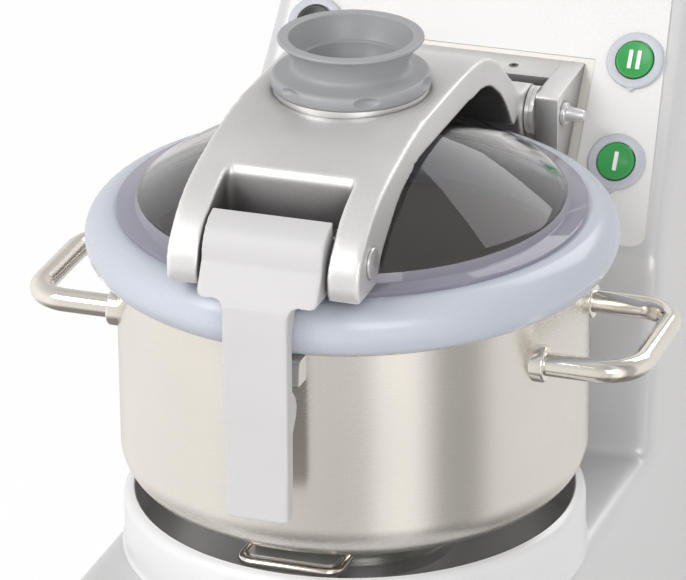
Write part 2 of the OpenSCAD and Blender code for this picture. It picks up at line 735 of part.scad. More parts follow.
module shaft_seal() {
    color("black") translate([0, 0, deck_z]) ring(seat_bore_r, shaft_r + run, seal_h);
}

// Blade assembly
hub_r = 32;
hub_play = 1.5;
hub_in_r = tube_r + hub_play;
hub_floor_gap = 2.5;
hub_low = seat_z + bowl_wall + hub_floor_gap;
hub_top = shaft_top + 2 * bearing_gap;
hub_ceiling = seat_z + tube_h + hub_floor_gap;
module blade_hub() {
    color("whitesmoke") rotate_extrude() polygon([[hub_in_r, hub_low], [hub_r, hub_low], [hub_r, hub_top - bearing_gap],
        [hub_r - bearing_gap, hub_top], [0, hub_top], [0, shaft_top], [shaft_r, shaft_top], [shaft_r, hub_ceiling],
        [hub_in_r, hub_ceiling]]);
}
blade_root = 30;
blade_tip = 7;
blade_sweep = 38;
blade_steps = 12;
blade_collar = 7;
// How far a blade's root runs into its collar before the bore is cut
blade_bite = 5;
// Crescent blade whose trailing sweep grows towards the tip
function blade_side(t, s) =
    let (r = hub_r - blade_bite + (blade_r - hub_r + blade_bite) * t, w = blade_root + (blade_tip - blade_root) * pow(t, 0.8),
        a = -blade_sweep * pow(t, 1.4) + s * asin(w / 2 / r))
    r * [cos(a), sin(a)];
module blade_pair(z, start) {
    difference() {
        translate([0, 0, z]) {
            cylinder(r = hub_r + blade_collar, h = blade_t + lip_h);
            for (k = [0, 1]) rotate([0, 0, start + 180 * k]) linear_extrude(blade_t) polygon(concat(
                [for (i = [0:blade_steps]) blade_side(i / blade_steps, -1)],
                [for (i = [blade_steps:-1:0]) blade_side(i / blade_steps, 1)]));
        }
        translate([0, 0, z - over]) cylinder(r = hub_r, h = blade_t + lip_h + 2 * over);
    }
}
blade_low_gap = 6;
blade_pitch = 42;
blade_low_turn = 20;
blade_high_turn = 110;
module blade_lower() { color("silver") blade_pair(hub_low + blade_low_gap, blade_low_turn); }
module blade_upper() { color("silver") blade_pair(hub_low + blade_low_gap + blade_pitch, blade_high_turn); }
knob_r = 19;
knob_h = 16;
knob_neck_r = 12;
module blade_knob() {
    color("black") translate([0, 0, hub_top]) rotate_extrude() polygon(concat([[0, 0], [knob_neck_r, 0], [knob_neck_r, knob_h / 4]],
        arc([knob_r - knob_h / 4, knob_h / 2], knob_h / 4, -90, 90, 6), [[knob_neck_r, knob_h], [0, knob_h]]));
}

// Lid: ring, gasket and dome
ring_tube_r = ring_h / 2 + lip_h / 2;
ring_mid_r = ring_r - ring_tube_r;
ring_inset = 4;
ring_low_r = bowl_r - ring_inset;
ring_land = 13;
ring_lip_t = 6;
dome_r = dome_d / 2;
land_r = bowl_r;
module lid_ring() {
    color("lightsteelblue") translate([0, 0, rim_z]) rotate_extrude($fn = 144) polygon(concat(
        [[ring_low_r, gap]], arc([ring_mid_r, ring_h / 2], ring_tube_r, -72, 75, 12),
        [[land_r, ring_h], [land_r - ring_land, ring_h], [land_r - ring_land, ring_h - ring_lip_t],
            [ring_low_r, ring_h - ring_lip_t]]));
}
gasket_play = 3;
gasket_r = bowl_r - bowl_wall - gasket_play;
gasket_t = 7;
gasket_dip = 7;
module lid_gasket() {
    color("dimgray") translate([0, 0, rim_z]) rotate_extrude($fn = 144) polygon([[gasket_r - gasket_t, ring_h - ring_lip_t],
        [gasket_r - gasket_t, lip_h], [gasket_r - gasket_t / 2, -gasket_dip], [gasket_r, -gasket_dip], [gasket_r, gap],
        [ring_low_r, gap], [ring_low_r, ring_h - ring_lip_t]]);
}
dome_step = 7;
dome_flange_t = 3;
dome_power = 1.5;
crown_r = crown_d / 2;
dome_hole_r = spout_d / 2 + lip_h;
dome_foot_z = ring_h + dome_flange_t + dome_step;
function dome_z(r) = dome_foot_z + (crown_h - dome_foot_z) * (1 - pow(r / dome_r, dome_power)) / (1 - pow(crown_r / dome_r, dome_power));
dome_n = 12;
module lid_dome() {
    outer = [for (i = [0:dome_n]) let (r = crown_r + (dome_r - crown_r) * i / dome_n) [r, dome_z(r)]];
    color([0.85, 0.88, 0.92, 0.5]) translate([0, 0, rim_z]) rotate_extrude($fn = 144) polygon(concat(
        [[dome_hole_r, crown_h]], outer, [[dome_r + dome_t / 2, ring_h + dome_flange_t], [land_r - lip_h, ring_h + dome_flange_t],
            [land_r - lip_h, ring_h], [dome_r - dome_t, ring_h]],
        [for (i = [dome_n:-1:0]) outer[i] - [dome_t, dome_t]],
        [[dome_hole_r, crown_h - dome_t]]));
}

// Lid arm: one casting, arched from the fork in front to the hinge boss behind
arm_top = 106;
fork_back = 105;
arm_round = 4;
// Side outline as shares of the hinge's distance and of the arm's height, from the fork's foot over the crest
arm_upper_shares = [[-0.837, 0.368], [-0.85, 0.472], [-0.822, 0.604], [-0.735, 0.745], [-0.62, 0.849],
    [-0.435, 0.935], [-0.25, 0.99], [-0.1, 1], [0.25, 1], [0.44, 0.953], [0.565, 0.849], [0.7, 0.66], [0.87, 0.462], [1, 0.425]];
arm_lower_shares = [[1, 0.123], [0.924, 0.142], [0.88, 0.283], [0.815, 0.349], [0.723, 0.363], [0.674, 0.472], [0.614, 0.594],
    [0.549, 0.684], [0.44, 0.783]];
arm_front_shares = [[-0.315, 0.79], [-0.44, 0.725], [-0.538, 0.618], [-0.62, 0.51], [-0.674, 0.368]];
function arm_pts(shares) = [for (s = shares) [s[0] * hinge_y, rim_z + s[1] * arm_top]];
boss_taper_y = 140;
boss_y = 165;
module lid_arm() {
    color("silver") difference() {
        intersection() {
            union() {
                across(arm_w) polygon(soft(concat(arm_pts(arm_upper_shares), arm_pts(arm_lower_shares),
                    [[crown_r, rim_z + crown_h], [-crown_r, rim_z + crown_h]], arm_pts(arm_front_shares)), 2 * arm_round, 3));
                translate([-boss_w / 2, hinge_y, hinge_h]) rotate([0, 90, 0]) cylinder(d = hinge_boss_d, h = boss_w);
            }
            linear_extrude(column_h) polygon([[-arm_w / 2, -base_front], [arm_w / 2, -base_front], [arm_w / 2, boss_taper_y],
                [boss_w / 2, boss_y], [boss_w / 2, base_back], [-boss_w / 2, base_back], [-boss_w / 2, boss_y],
                [-arm_w / 2, boss_taper_y]]);
        }
        translate([0, -fork_back - base_front, 0]) linear_extrude(column_h)
            polygon(soft(box_pts(fork_gap, 2 * base_front), arm_round, 4));
        translate([0, 0, rim_z]) cylinder(r = spout_d / 2 + gap, h = column_h);
        translate([0, 0, rim_z + arm_top - arm_seat_sink]) cylinder(r = arm_seat_r, h = column_h);
        translate([-arm_w, hinge_y, hinge_h]) rotate([0, 90, 0]) cylinder(r = hinge_pin_d / 2 + run, h = 2 * arm_w);
        translate([-arm_w, -lever_y, lever_h]) rotate([0, 90, 0]) cylinder(d = lever_pin_d, h = 2 * arm_w);
        translate([0, hinge_y + hinge_boss_d / 2 - magnet_t - lip_h, hinge_h]) rotate([-90, 0, 0])
            cylinder(d = magnet_d, h = magnet_t + 2 * over);
    }
}
arm_seat_r = flange_d / 2 - lip_h;
arm_seat_sink = 2;
arm_seat_h = 2.6;
module arm_seat() {
    color("white") translate([0, 0, rim_z + arm_top - arm_seat_sink])
        ring(arm_seat_r, spout_d / 2 + gap, arm_seat_sink + arm_seat_h);
}
magnet_d = 10;
magnet_t = 4;
module lid_magnet() {
    color("gray") translate([0, hinge_y + hinge_boss_d / 2 - magnet_t - lip_h, hinge_h]) rotate([-90, 0, 0])
        cylinder(d = magnet_d, h = magnet_t);
}
lever_head_d = 18;
lever_head_t = 1.5;
module lever_pin() {
    color("silver") translate([0, -lever_y, lever_h]) rotate([0, 90, 0]) {
        translate([0, 0, -arm_w / 2]) cylinder(d = lever_pin_d, h = arm_w);
        for (z = [-arm_w / 2 - lever_head_t, arm_w / 2]) translate([0, 0, z]) cylinder(d = lever_head_d, h = lever_head_t);
    }
}
// Hopper, which turns on the arm's seat
hopper_z = rim_z + arm_top + arm_seat_h + gap;
hopper_flange_h = 7;
hopper_neck_d = 68;
hopper_wall = 3;
spout_dip = 8;
spout_low = crown_h - spout_dip;
// Heights as shares of the flange's and of the hopper's height
shoulder_share = 1.4;
neck_low_share = 0.5;
neck_top_share = 0.65;
cup_low_share = 0.2;
cup_top_share = 0.6;
module hopper() {
    lip_r = lip_d / 2;
    mouth_r = mouth_d / 2;
    flange_r = flange_d / 2;
    neck_r = hopper_neck_d / 2;
    throat_r = throat_d / 2;
    color("darkgray") rotate_extrude() polygon(concat([[throat_r, rim_z + spout_low], [spout_d / 2, rim_z + spout_low],
        [spout_d / 2, hopper_z], [flange_r - lip_h, hopper_z], [flange_r, hopper_z + lip_h]],
        arc([flange_r - hopper_flange_h / 2, hopper_z + hopper_flange_h / 2 + lip_h], hopper_flange_h / 2, 0, 80, 4),
        [[neck_r + 2 * lip_h, hopper_z + shoulder_share * hopper_flange_h], [neck_r, hopper_z + neck_low_share * hopper_h],
            [neck_r + lip_h, hopper_z + neck_top_share * hopper_h], [lip_r - lip_h, hopper_z + hopper_h - 2 * lip_h],
            [lip_r, hopper_z + hopper_h - lip_h], [lip_r - lip_h, hopper_z + hopper_h],
            [mouth_r + lip_h, hopper_z + hopper_h], [mouth_r, hopper_z + hopper_h - lip_h],
            [mouth_r - hopper_wall, hopper_z + cup_top_share * hopper_h],
            [throat_r + hopper_wall, hopper_z + cup_low_share * hopper_h], [throat_r, hopper_z]]));
}
// Lever: a barrel in the fork, a handle down the front and a nose that presses on the bowl's catch
barrel_step = 38;
barrel_back_r = 12;
shoulder = 34;
nose_top = 22;
nose_h = 12;
nose_play = 1.5;
nose_y = bowl_r + catch_out + nose_play;
function from_pin(r, a0, a1, n) = arc([-lever_y, lever_h], r, a0, a1, n);
module lever_side() {
    polygon(concat(from_pin(barrel_r, 100, 185, 10), [[-lever_front + 2 * lip_h, rim_z + shoulder],
        [-lever_front, rim_z], [-lever_front, rim_z - lever_drop], [-lever_back, rim_z - lever_drop],
        [-lever_back, rim_z - nose_top - nose_h - lever_t], [-nose_y - lip_h, rim_z - nose_top - nose_h],
        [-nose_y, rim_z - nose_top - nose_h / 2], [-nose_y - 2 * lip_h, rim_z - nose_top],
        [-lever_back, rim_z - nose_top + nose_h / 2], [-lever_back, rim_z + ring_h / 2 + lip_h],
        [-lever_back + ring_h / 4, rim_z + ring_h + 2 * lip_h]], from_pin(barrel_back_r, 235, 460, 12)));
}
module lever() {
    color("gainsboro") difference() {
        union() {
            across(lever_w) lever_side();
            intersection() {
                across(barrel_w) lever_side();
                translate([-barrel_w, -base_front - arm_w, rim_z + barrel_step]) cube([2 * barrel_w, base_back, column_h]);
            }
        }
        translate([-arm_w, -lever_y, lever_h]) rotate([0, 90, 0]) cylinder(r = lever_pin_d / 2 + run, h = 2 * arm_w);
    }
}

// Electrical parts on the bottom plate
floor_z = foot_h + plate_t;
contactor_size = [45, 72, 78];
contactor_y = 150;
contactor_pitch = 52;
contactor_side = 77;
contactor_x = contactor_side - base_w / 2;
module contactors() {
    color("beige") for (i = [0, 1]) translate([contactor_x + (i - 0.5) * contactor_pitch - contactor_size[0] / 2, contactor_y, floor_z])
        difference() {
            cube(contactor_size);
            for (j = [1:3]) translate([j * contactor_size[0] / 4, -over, contactor_size[2] - 3 * stem_d / 2])
                rotate([-90, 0, 0]) cylinder(d = stem_d / 2, h = stem_l);
        }
}
transformer_size = [80, 66, 70];
transformer_side = 75;
transformer_x = base_w / 2 - transformer_side;
core_share = 0.5;
coil_share = 0.85;
module transformer() {
    s = transformer_size;
    color("saddlebrown") translate([transformer_x - s[0] / 2, contactor_y, floor_z]) {
        cube([s[0], s[1], s[2] / 5]);
        translate([0, s[1] * core_share / 2, 0]) cube([s[0], s[1] * core_share, s[2]]);
        translate([s[0] * core_share / 2, 0, 0]) cube([s[0] * core_share, s[1], s[2] * coil_share]);
    }
}
board_size = [130, 84, 1.6];
board_side = 85;
board_x = base_w / 2 - board_side;
board_y = 252;
standoff_h = 12;
standoff_in = 6;
module control_board() {
    s = board_size;
    color("darkgreen") translate([board_x - s[0] / 2, board_y, floor_z]) {
        translate([0, 0, standoff_h]) cube(s);
        for (x = [standoff_in, s[0] - standoff_in], y = [standoff_in, s[1] - standoff_in])
            translate([x, y, 0]) cylinder(d = stem_d - 2 * lip_h, h = standoff_h);
        translate([s[0] / 5, s[1] / 4, standoff_h + s[2]]) cube([s[0] / 4, s[1] / 3, s[0] / 6]);
        translate([s[0] * 0.6, s[1] / 3, standoff_h + s[2]]) cube([s[0] / 5, s[1] / 2, s[0] / 9]);
    }
}
terminal_size = [64, 22, 28];
terminal_side = 71;
terminal_x = terminal_side - base_w / 2;
terminal_y = 266;
terminal_n = 5;
module terminal_block() {
    s = terminal_size;
    color("whitesmoke") translate([terminal_x - s[0] / 2, terminal_y, floor_z]) difference() {
        cube(s);
        for (i = [0:terminal_n - 1]) translate([(i + 0.5) * s[0] / terminal_n, s[1] / 2, s[2] / 2])
            cylinder(d = stem_d, h = s[2]);
    }
}
gland_bore_d = 12;
gland_nut_h = 7;
gland_flange_d = 32;
module cable_gland() {
    color("black") translate([gland_x, gland_y, foot_h]) difference() {
        union() {
            cylinder(d = gland_d, h = plate_t + gland_nut_h + lip_h);
            translate([0, 0, plate_t]) cylinder(d = gland_flange_d, h = gland_nut_h, $fn = 6);
            translate([0, 0, -gland_nut_h]) cylinder(d = gland_flange_d - 2 * lip_h, h = gland_nut_h);
        }
        translate([0, 0, -gland_nut_h - over]) cylinder(d = gland_bore_d, h = plate_t + 2 * gland_nut_h + lip_h + 2 * over);
    }
}

placed() housing();
placed() base_plate();
placed() rear_cover();
placed() rear_cover_screws();
placed() base_screws();
placed() feet();
placed() foot_screws();
placed() control_panel();
placed() hinge_plate();
placed() hinge_bracket();
placed() bracket_screws();
placed() hinge_pin();
placed() hinge_washers();
placed() button_bezels();
placed() cap_one();
placed() cap_two();
placed() cap_pulse();
placed() cap_stop();
placed() mark_one();
placed() mark_two();
placed() switch_blocks();
placed() bowl_seat();
placed() shaft_seal();
placed() motor_stator();
placed() motor_windings();
placed() motor_end_shields();
placed() motor_bearings();
placed() motor_bolts();
placed() motor_rotor();
placed() motor_shaft();
placed() motor_fan();
placed() blade_hub();
placed() blade_lower();
placed() blade_upper();
placed() blade_knob();
placed() bowl();
placed() handle_left();
placed() handle_right();
placed() bowl_catch();
placed() bowl_loop();
placed() lid_arm();
placed() lid_dome();
placed() lid_ring();
placed() lid_gasket();
placed() arm_seat();
placed() lever_pin();
placed() lid_magnet();
placed() lid_switch();
placed() hopper();
placed() lever();
placed() contactors();
placed() control_board();
placed() transformer();
placed() terminal_block();
placed() cable_gland();
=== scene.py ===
"""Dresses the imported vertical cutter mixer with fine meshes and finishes, in the frame's own axes."""

import logging
import math
from dataclasses import dataclass, field
from enum import Enum

import bpy
from mathutils import Matrix, Vector


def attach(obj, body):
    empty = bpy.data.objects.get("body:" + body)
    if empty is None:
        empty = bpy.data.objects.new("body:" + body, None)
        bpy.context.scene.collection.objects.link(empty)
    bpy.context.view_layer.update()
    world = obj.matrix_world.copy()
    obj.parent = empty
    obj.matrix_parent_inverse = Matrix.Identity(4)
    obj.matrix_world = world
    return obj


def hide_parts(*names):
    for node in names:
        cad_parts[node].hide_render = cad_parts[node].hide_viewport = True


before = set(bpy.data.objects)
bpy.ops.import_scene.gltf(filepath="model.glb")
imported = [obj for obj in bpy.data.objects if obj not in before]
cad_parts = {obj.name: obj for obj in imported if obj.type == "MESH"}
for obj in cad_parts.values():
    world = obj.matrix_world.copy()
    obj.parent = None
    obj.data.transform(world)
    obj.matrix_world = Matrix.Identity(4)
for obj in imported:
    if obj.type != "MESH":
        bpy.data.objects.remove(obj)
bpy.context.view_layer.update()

log = logging.getLogger("mixer")
Point = tuple[float, float, float]
Flat = tuple[float, float]
Socket = bpy.types.NodeSocket
Piece = bpy.types.Object

# The bowl's axis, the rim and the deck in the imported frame
AXIS_Y = -0.10525
RIM_Z = 0.373
DECK_Z = 0.190
FLOOR_GAP = 0.012
# The two pins: distance behind the bowl's axis and height above the rim, in millimetres
HINGE = (184, 29)
LEVER_PIN = (-132.5, 56.4)
# Octaves of the fine and slow grain, the spans of grain that carry tone and polish, and the coat's polish
FINE_OCTAVES, SLOW_OCTAVES = 3.0, 2.0
TONE_SPAN = (0.38, 0.62)
ROUGH_SPAN = (0.3, 0.7)
COAT_ROUGH = 0.08
QUARTER_TURN = 0.25
# Painted highlights on rounded edges, painted shade in recesses, and the dome's tinted flange
EDGE_SPAN, HIGHLIGHT_TONE = (0.505, 0.57), (0.95, 0.95, 0.94)
RECESS_SPAN, SHADE_TONE, RECESS_REACH = (0.8, 0.3), (0.1, 0.095, 0.095), 0.09
BAND_BLUR, BAND_CLEAR = 0.0006, 0.3


class Body(Enum):
    """The rigid bodies that pieces ride on."""

    BASE = "base"
    ARM = "arm"
    HOPPER = "hopper_body"
    LEVER = "lever_body"


def at(x: float, y: float, z: float) -> Point:
    """Turns a place about the bowl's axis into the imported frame.

    Args:
        x: Distance to the right in millimetres.
        y: Distance behind the bowl's axis in millimetres.
        z: Height above the bowl's rim in millimetres.

    Returns:
        The same place in metres.
    """
    return (x / 1000, AXIS_Y + y / 1000, RIM_Z + z / 1000)


def arc(centre: Flat, radius: float, start: float, end: float, steps: int) -> list[Flat]:
    """Gives the points of an arc.

    Args:
        centre: Middle of the arc.
        radius: Its radius.
        start: First angle in degrees.
        end: Last angle in degrees.
        steps: Number of chords.

    Returns:
        The points, both ends included.
    """
    turns = [math.radians(start + (end - start) * i / steps) for i in range(steps + 1)]
    return [(centre[0] + radius * math.cos(a), centre[1] + radius * math.sin(a)) for a in turns]


def soften(points: list[Flat], radii: float | list[float], steps: int = 6) -> list[Flat]:
    """Rounds the corners of an outline.

    Args:
        points: Corners in order.
        radii: One radius, or one for each corner.
        steps: Chords in each rounding.

    Returns:
        The outline with its corners rounded.
    """
    out: list[Flat] = []
    for i, corner in enumerate(points):
        radius = radii[i] if isinstance(radii, list) else radii
        if radius <= 0:
            out.append(corner)
            continue
        b = Vector(corner)
        to_a = Vector(points[i - 1]) - b
        to_c = Vector(points[(i + 1) % len(points)]) - b
        half = to_a.angle(to_c) / 2
        reach = min(radius / math.tan(half), 0.48 * to_a.length, 0.48 * to_c.length)
        p, q = b + to_a.normalized() * reach, b + to_c.normalized() * reach
        for k in range(steps + 1):
            t = k / steps
            w = (1 - t) ** 2 * p + 2 * t * (1 - t) * b + t * t * q
            out.append((w.x, w.y))
    return out


def smooth_line(points: list[Flat], steps: int) -> list[Flat]:
    """Runs a smooth curve through points.

    Args:
        points: Places that the curve passes.
        steps: Chords between two places.

    Returns:
        The points of the curve.
    """
    ext = [points[0], *points, points[-1]]
    out: list[Flat] = []
    for i in range(1, len(ext) - 2):
        a, b, c, d = (Vector(ext[i + k]) for k in (-1, 0, 1, 2))
        for k in range(steps):
            t = k / steps
            bow = (2 * a - 5 * b + 4 * c - d) * t * t + (3 * b - a - 3 * c + d) * t ** 3
            w = 0.5 * (2 * b + (c - a) * t + bow)
            out.append((w.x, w.y))
    out.append(points[-1])
    return out


def clear() -> None:
    """Leaves edit mode and deselects everything."""
    if bpy.context.object and bpy.context.object.mode != "OBJECT":
        bpy.ops.object.mode_set(mode="OBJECT")
    bpy.ops.object.select_all(action="DESELECT")


def pick(obj: Piece) -> None:
    """Makes one object the selected and active one.

    Args:
        obj: The object.
    """
    clear()
    obj.select_set(True)
    bpy.context.view_layer.objects.active = obj


def seal(gap: float = 0.0) -> None:
    """Merges the doubled points of the mesh in hand, turns its faces outwards and leaves edit mode.

    Args:
        gap: Distance in metres up to which points are merged, or zero for none.
    """
    bpy.ops.mesh.select_all(action="SELECT")
    if gap > 0:
        bpy.ops.mesh.remove_doubles(threshold=gap)
    bpy.ops.mesh.normals_make_consistent(inside=False)
    clear()


def draw_line(name: str, points: list[Point], closed: bool = False) -> Piece:
    """Draws an edge line by extruding one vertex from place to place.

    Args:
        name: The object's name.
        points: Places in metres.
        closed: Whether the line returns to its start.

    Returns:
        The object, left in edit mode with every vertex selected.
    """
    clear()
    bpy.ops.mesh.primitive_plane_add(size=0.001, location=(0, 0, 0), enter_editmode=True)
    obj = bpy.context.object
    obj.name = name
    bpy.ops.mesh.merge(type="CENTER")
    bpy.ops.transform.translate(value=points[0])
    route = [*points, points[0]] if closed else points
    for a, b in zip(route, route[1:]):
        step = tuple(b[i] - a[i] for i in range(3))
        bpy.ops.mesh.extrude_vertices_move(TRANSFORM_OT_translate={"value": step})
    bpy.ops.mesh.select_all(action="SELECT")
    if closed:
        bpy.ops.mesh.remove_doubles(threshold=1e-6)
    return obj


def lathe(name: str, profile: list[Flat], steps: int = 192, closed: bool = True,
          foot: Point = (0, AXIS_Y, RIM_Z)) -> Piece:
    """Spins a profile about an upright axis.

    Args:
        name: The object's name.
        profile: Radius and height of each point, in millimetres.
        steps: Facets round the axis.
        closed: Whether the profile is a closed loop.
        foot: Place on the axis that heights are counted from, in metres.

    Returns:
        The turned object.
    """
    points = [(foot[0] + r / 1000, foot[1], foot[2] + z / 1000) for r, z in profile]
    obj = draw_line(name, points, closed)
    bpy.ops.mesh.spin(steps=steps, angle=2 * math.pi, center=(foot[0], foot[1], 0), axis=(0, 0, 1))
    seal(2e-6)
    return obj


def prism(name: str, outline: list[Point], push: Point) -> Piece:
    """Fills an outline and pushes it out to a solid.

    Args:
        name: The object's name.
        outline: The outline's corners in metres.
        push: The way and distance in metres.

    Returns:
        The solid.
    """
    obj = draw_line(name, outline, True)
    bpy.ops.mesh.edge_face_add()
    bpy.ops.mesh.extrude_region_move(TRANSFORM_OT_translate={"value": push})
    seal()
    return obj


def across(name: str, side: list[Flat], width: float) -> Piece:
    """Pushes a side outline out across the machine.

    Args:
        name: The object's name.
        side: Distance behind the axis and height above the rim of each corner, in millimetres.
        width: Width in millimetres, centred on the machine.

    Returns:
        The solid.
    """
    return prism(name, [at(-width / 2, y, z) for y, z in side], (width / 1000, 0, 0))


def rod(name: str, start: Point, end: Point, radius: float, far_radius: float | None = None,
        edge: float = 0.0004, sides: int = 64) -> Piece:
    """Makes a round bar, straight or tapered, with broken edges.

    Args:
        name: The object's name.
        start: Middle of the first end, in metres.
        end: Middle of the other end, in metres.
        radius: Radius at the first end.
        far_radius: Radius at the other end, where it differs.
        edge: Width of the broken edges.
        sides: Facets round the bar.

    Returns:
        The bar.
    """
    clear()
    way = Vector(end) - Vector(start)
    mid = (Vector(start) + Vector(end)) / 2
    turn = way.to_track_quat("Z", "Y").to_euler()
    bpy.ops.mesh.primitive_cone_add(
        vertices=sides, radius1=radius, radius2=radius if far_radius is None else far_radius,
        depth=way.length, location=mid, rotation=turn)
    obj = bpy.context.object
    obj.name = name
    bpy.ops.object.transform_apply(location=True, rotation=True, scale=True)
    if edge > 0:
        ease(obj, edge, 3, 40)
    return obj


def ease(obj: Piece, width: float, segments: int, angle: float) -> None:
    """Rounds a piece's edges.

    Args:
        obj: The piece.
        width: Width of the rounding in metres.
        segments: Facets in it.
        angle: Least angle between faces, in degrees, whose edge is rounded.
    """
    limit = math.radians(angle)
    modify(obj, "BEVEL", width=width, segments=segments, limit_method="ANGLE", angle_limit=limit)


def tube(name: str, route: list[Point], radius: float, facets: int = 6) -> Piece:
    """Bends a round bar along a route, as a bevelled curve turned back to a closed mesh.

    Args:
        name: The object's name.
        route: Places along the bar's middle, in metres.
        radius: Its radius.
        facets: Facets in a quarter of its round, less one.

    Returns:
        The bar.
    """
    obj = draw_line(name, route)
    pick(obj)
    bpy.ops.object.convert(target="CURVE")
    obj = bpy.context.object
    obj.data.bevel_depth = radius
    obj.data.bevel_resolution = facets
    obj.data.use_fill_caps = True
    bpy.ops.object.convert(target="MESH")
    obj = bpy.context.object
    bpy.ops.object.mode_set(mode="EDIT")
    seal(1e-6)
    return obj


def modify(obj: Piece, kind: str, **settings: object) -> None:
    """Adds a modifier and applies it.

    Args:
        obj: The piece.
        kind: The modifier's type.
        settings: Its values.
    """
    pick(obj)
    mod = obj.modifiers.new(kind.lower(), kind)
    for key, value in settings.items():
        setattr(mod, key, value)
    bpy.ops.object.modifier_apply(modifier=mod.name)


def cut(obj: Piece, tool: Piece, how: str = "DIFFERENCE") -> None:
    """Combines a piece with a tool and throws the tool away.

    Args:
        obj: The piece.
        tool: The tool.
        how: The boolean operation.
    """
    modify(obj, "BOOLEAN", operation=how, object=tool, solver="EXACT")
    bpy.data.objects.remove(tool, do_unlink=True)


def cast(obj: Piece, grain: float, passes: int) -> None:
    """Gives a solid the soft edges of a casting or moulding.

    Args:
        obj: The solid.
        grain: Size of its new facets in metres.
        passes: Rounds of smoothing.
    """
    modify(obj, "REMESH", mode="VOXEL", voxel_size=grain, use_smooth_shade=True)
    modify(obj, "SMOOTH", factor=0.5, iterations=passes)


def join(name: str, *parts: Piece) -> Piece:
    """Joins meshes to one object.

    Args:
        name: The joined object's name.
        parts: The meshes.

    Returns:
        The joined object.
    """
    clear()
    for part in parts:
        part.select_set(True)
    bpy.context.view_layer.objects.active = parts[0]
    bpy.ops.object.join()
    parts[0].name = name
    return parts[0]


def move(obj: Piece, matrix: Matrix) -> None:
    """Turns and shifts a piece, and keeps its object at the origin.

    Args:
        obj: The piece.
        matrix: The placement.
    """
    pick(obj)
    obj.matrix_world = matrix @ obj.matrix_world
    bpy.ops.object.transform_apply(location=True, rotation=True, scale=True)


class Graph:
    """The node tree of a material or the world, with short ways to add and join nodes."""

    def __init__(self, owner: bpy.types.ID) -> None:
        """Opens a tree.

        Args:
            owner: The material or world.
        """
        owner.use_nodes = True
        self.nodes, self.links = owner.node_tree.nodes, owner.node_tree.links

    def fill(self, node: bpy.types.Node, values: dict) -> bpy.types.Node:
        """Gives a node's inputs their values.

        Args:
            node: The node.
            values: A constant or another node's output for each input.

        Returns:
            The node.
        """
        for key, value in values.items():
            if isinstance(value, Socket):
                self.links.new(value, node.inputs[key])
            else:
                node.inputs[key].default_value = value
        return node

    def add(self, kind: str, values: dict | None = None, **settings: object) -> bpy.types.Node:
        """Adds a node.

        Args:
            kind: The node's type.
            values: What its inputs get.
            settings: Its own settings.

        Returns:
            The node.
        """
        node = self.nodes.new("ShaderNode" + kind)
        for key, value in settings.items():
            setattr(node, key, value)
        return self.fill(node, values or {})

    def spread(self, value: Socket, start: Flat, full: Flat) -> Socket:
        """Maps one span of a value to another.

        Args:
            value: The value.
            start: Where the span starts, and what it gives there.
            full: Where the span ends, and what it gives there.

        Returns:
            The mapped value.
        """
        ends = {"From Min": start[0], "To Min": start[1], "From Max": full[0], "To Max": full[1]}
        return self.add("MapRange", {"Value": value, **ends}).outputs["Result"]

    def tone(self, colour: Socket, tone: Point, share: Socket) -> Socket:
        """Blends a colour towards a tone.

        Args:
            colour: The colour so far.
            tone: The tone.
            share: The tone's share.

        Returns:
            The blended colour.
        """
        return self.add("Mix", {0: share, 6: colour, 7: (*tone, 1)}, data_type="RGBA").outputs[2]

    def noise(self, place: Socket, scale: float, detail: float) -> Socket:
        """Adds a noise pattern.

        Args:
            place: The coordinates.
            scale: Cells to a metre.
            detail: Octaves.

        Returns:
            The pattern.
        """
        return self.add("TexNoise", {"Scale": scale, "Detail": detail, "Vector": place}).outputs["Fac"]

    def reckon(self, how: str, first: Socket, second: Socket | float) -> Socket:
        """Reckons with two values.

        Args:
            how: The operation.
            first: The first value.
            second: The second value.

        Returns:
            The result.
        """
        return self.add("Math", {0: first, 1: second}, operation=how).outputs["Value"]


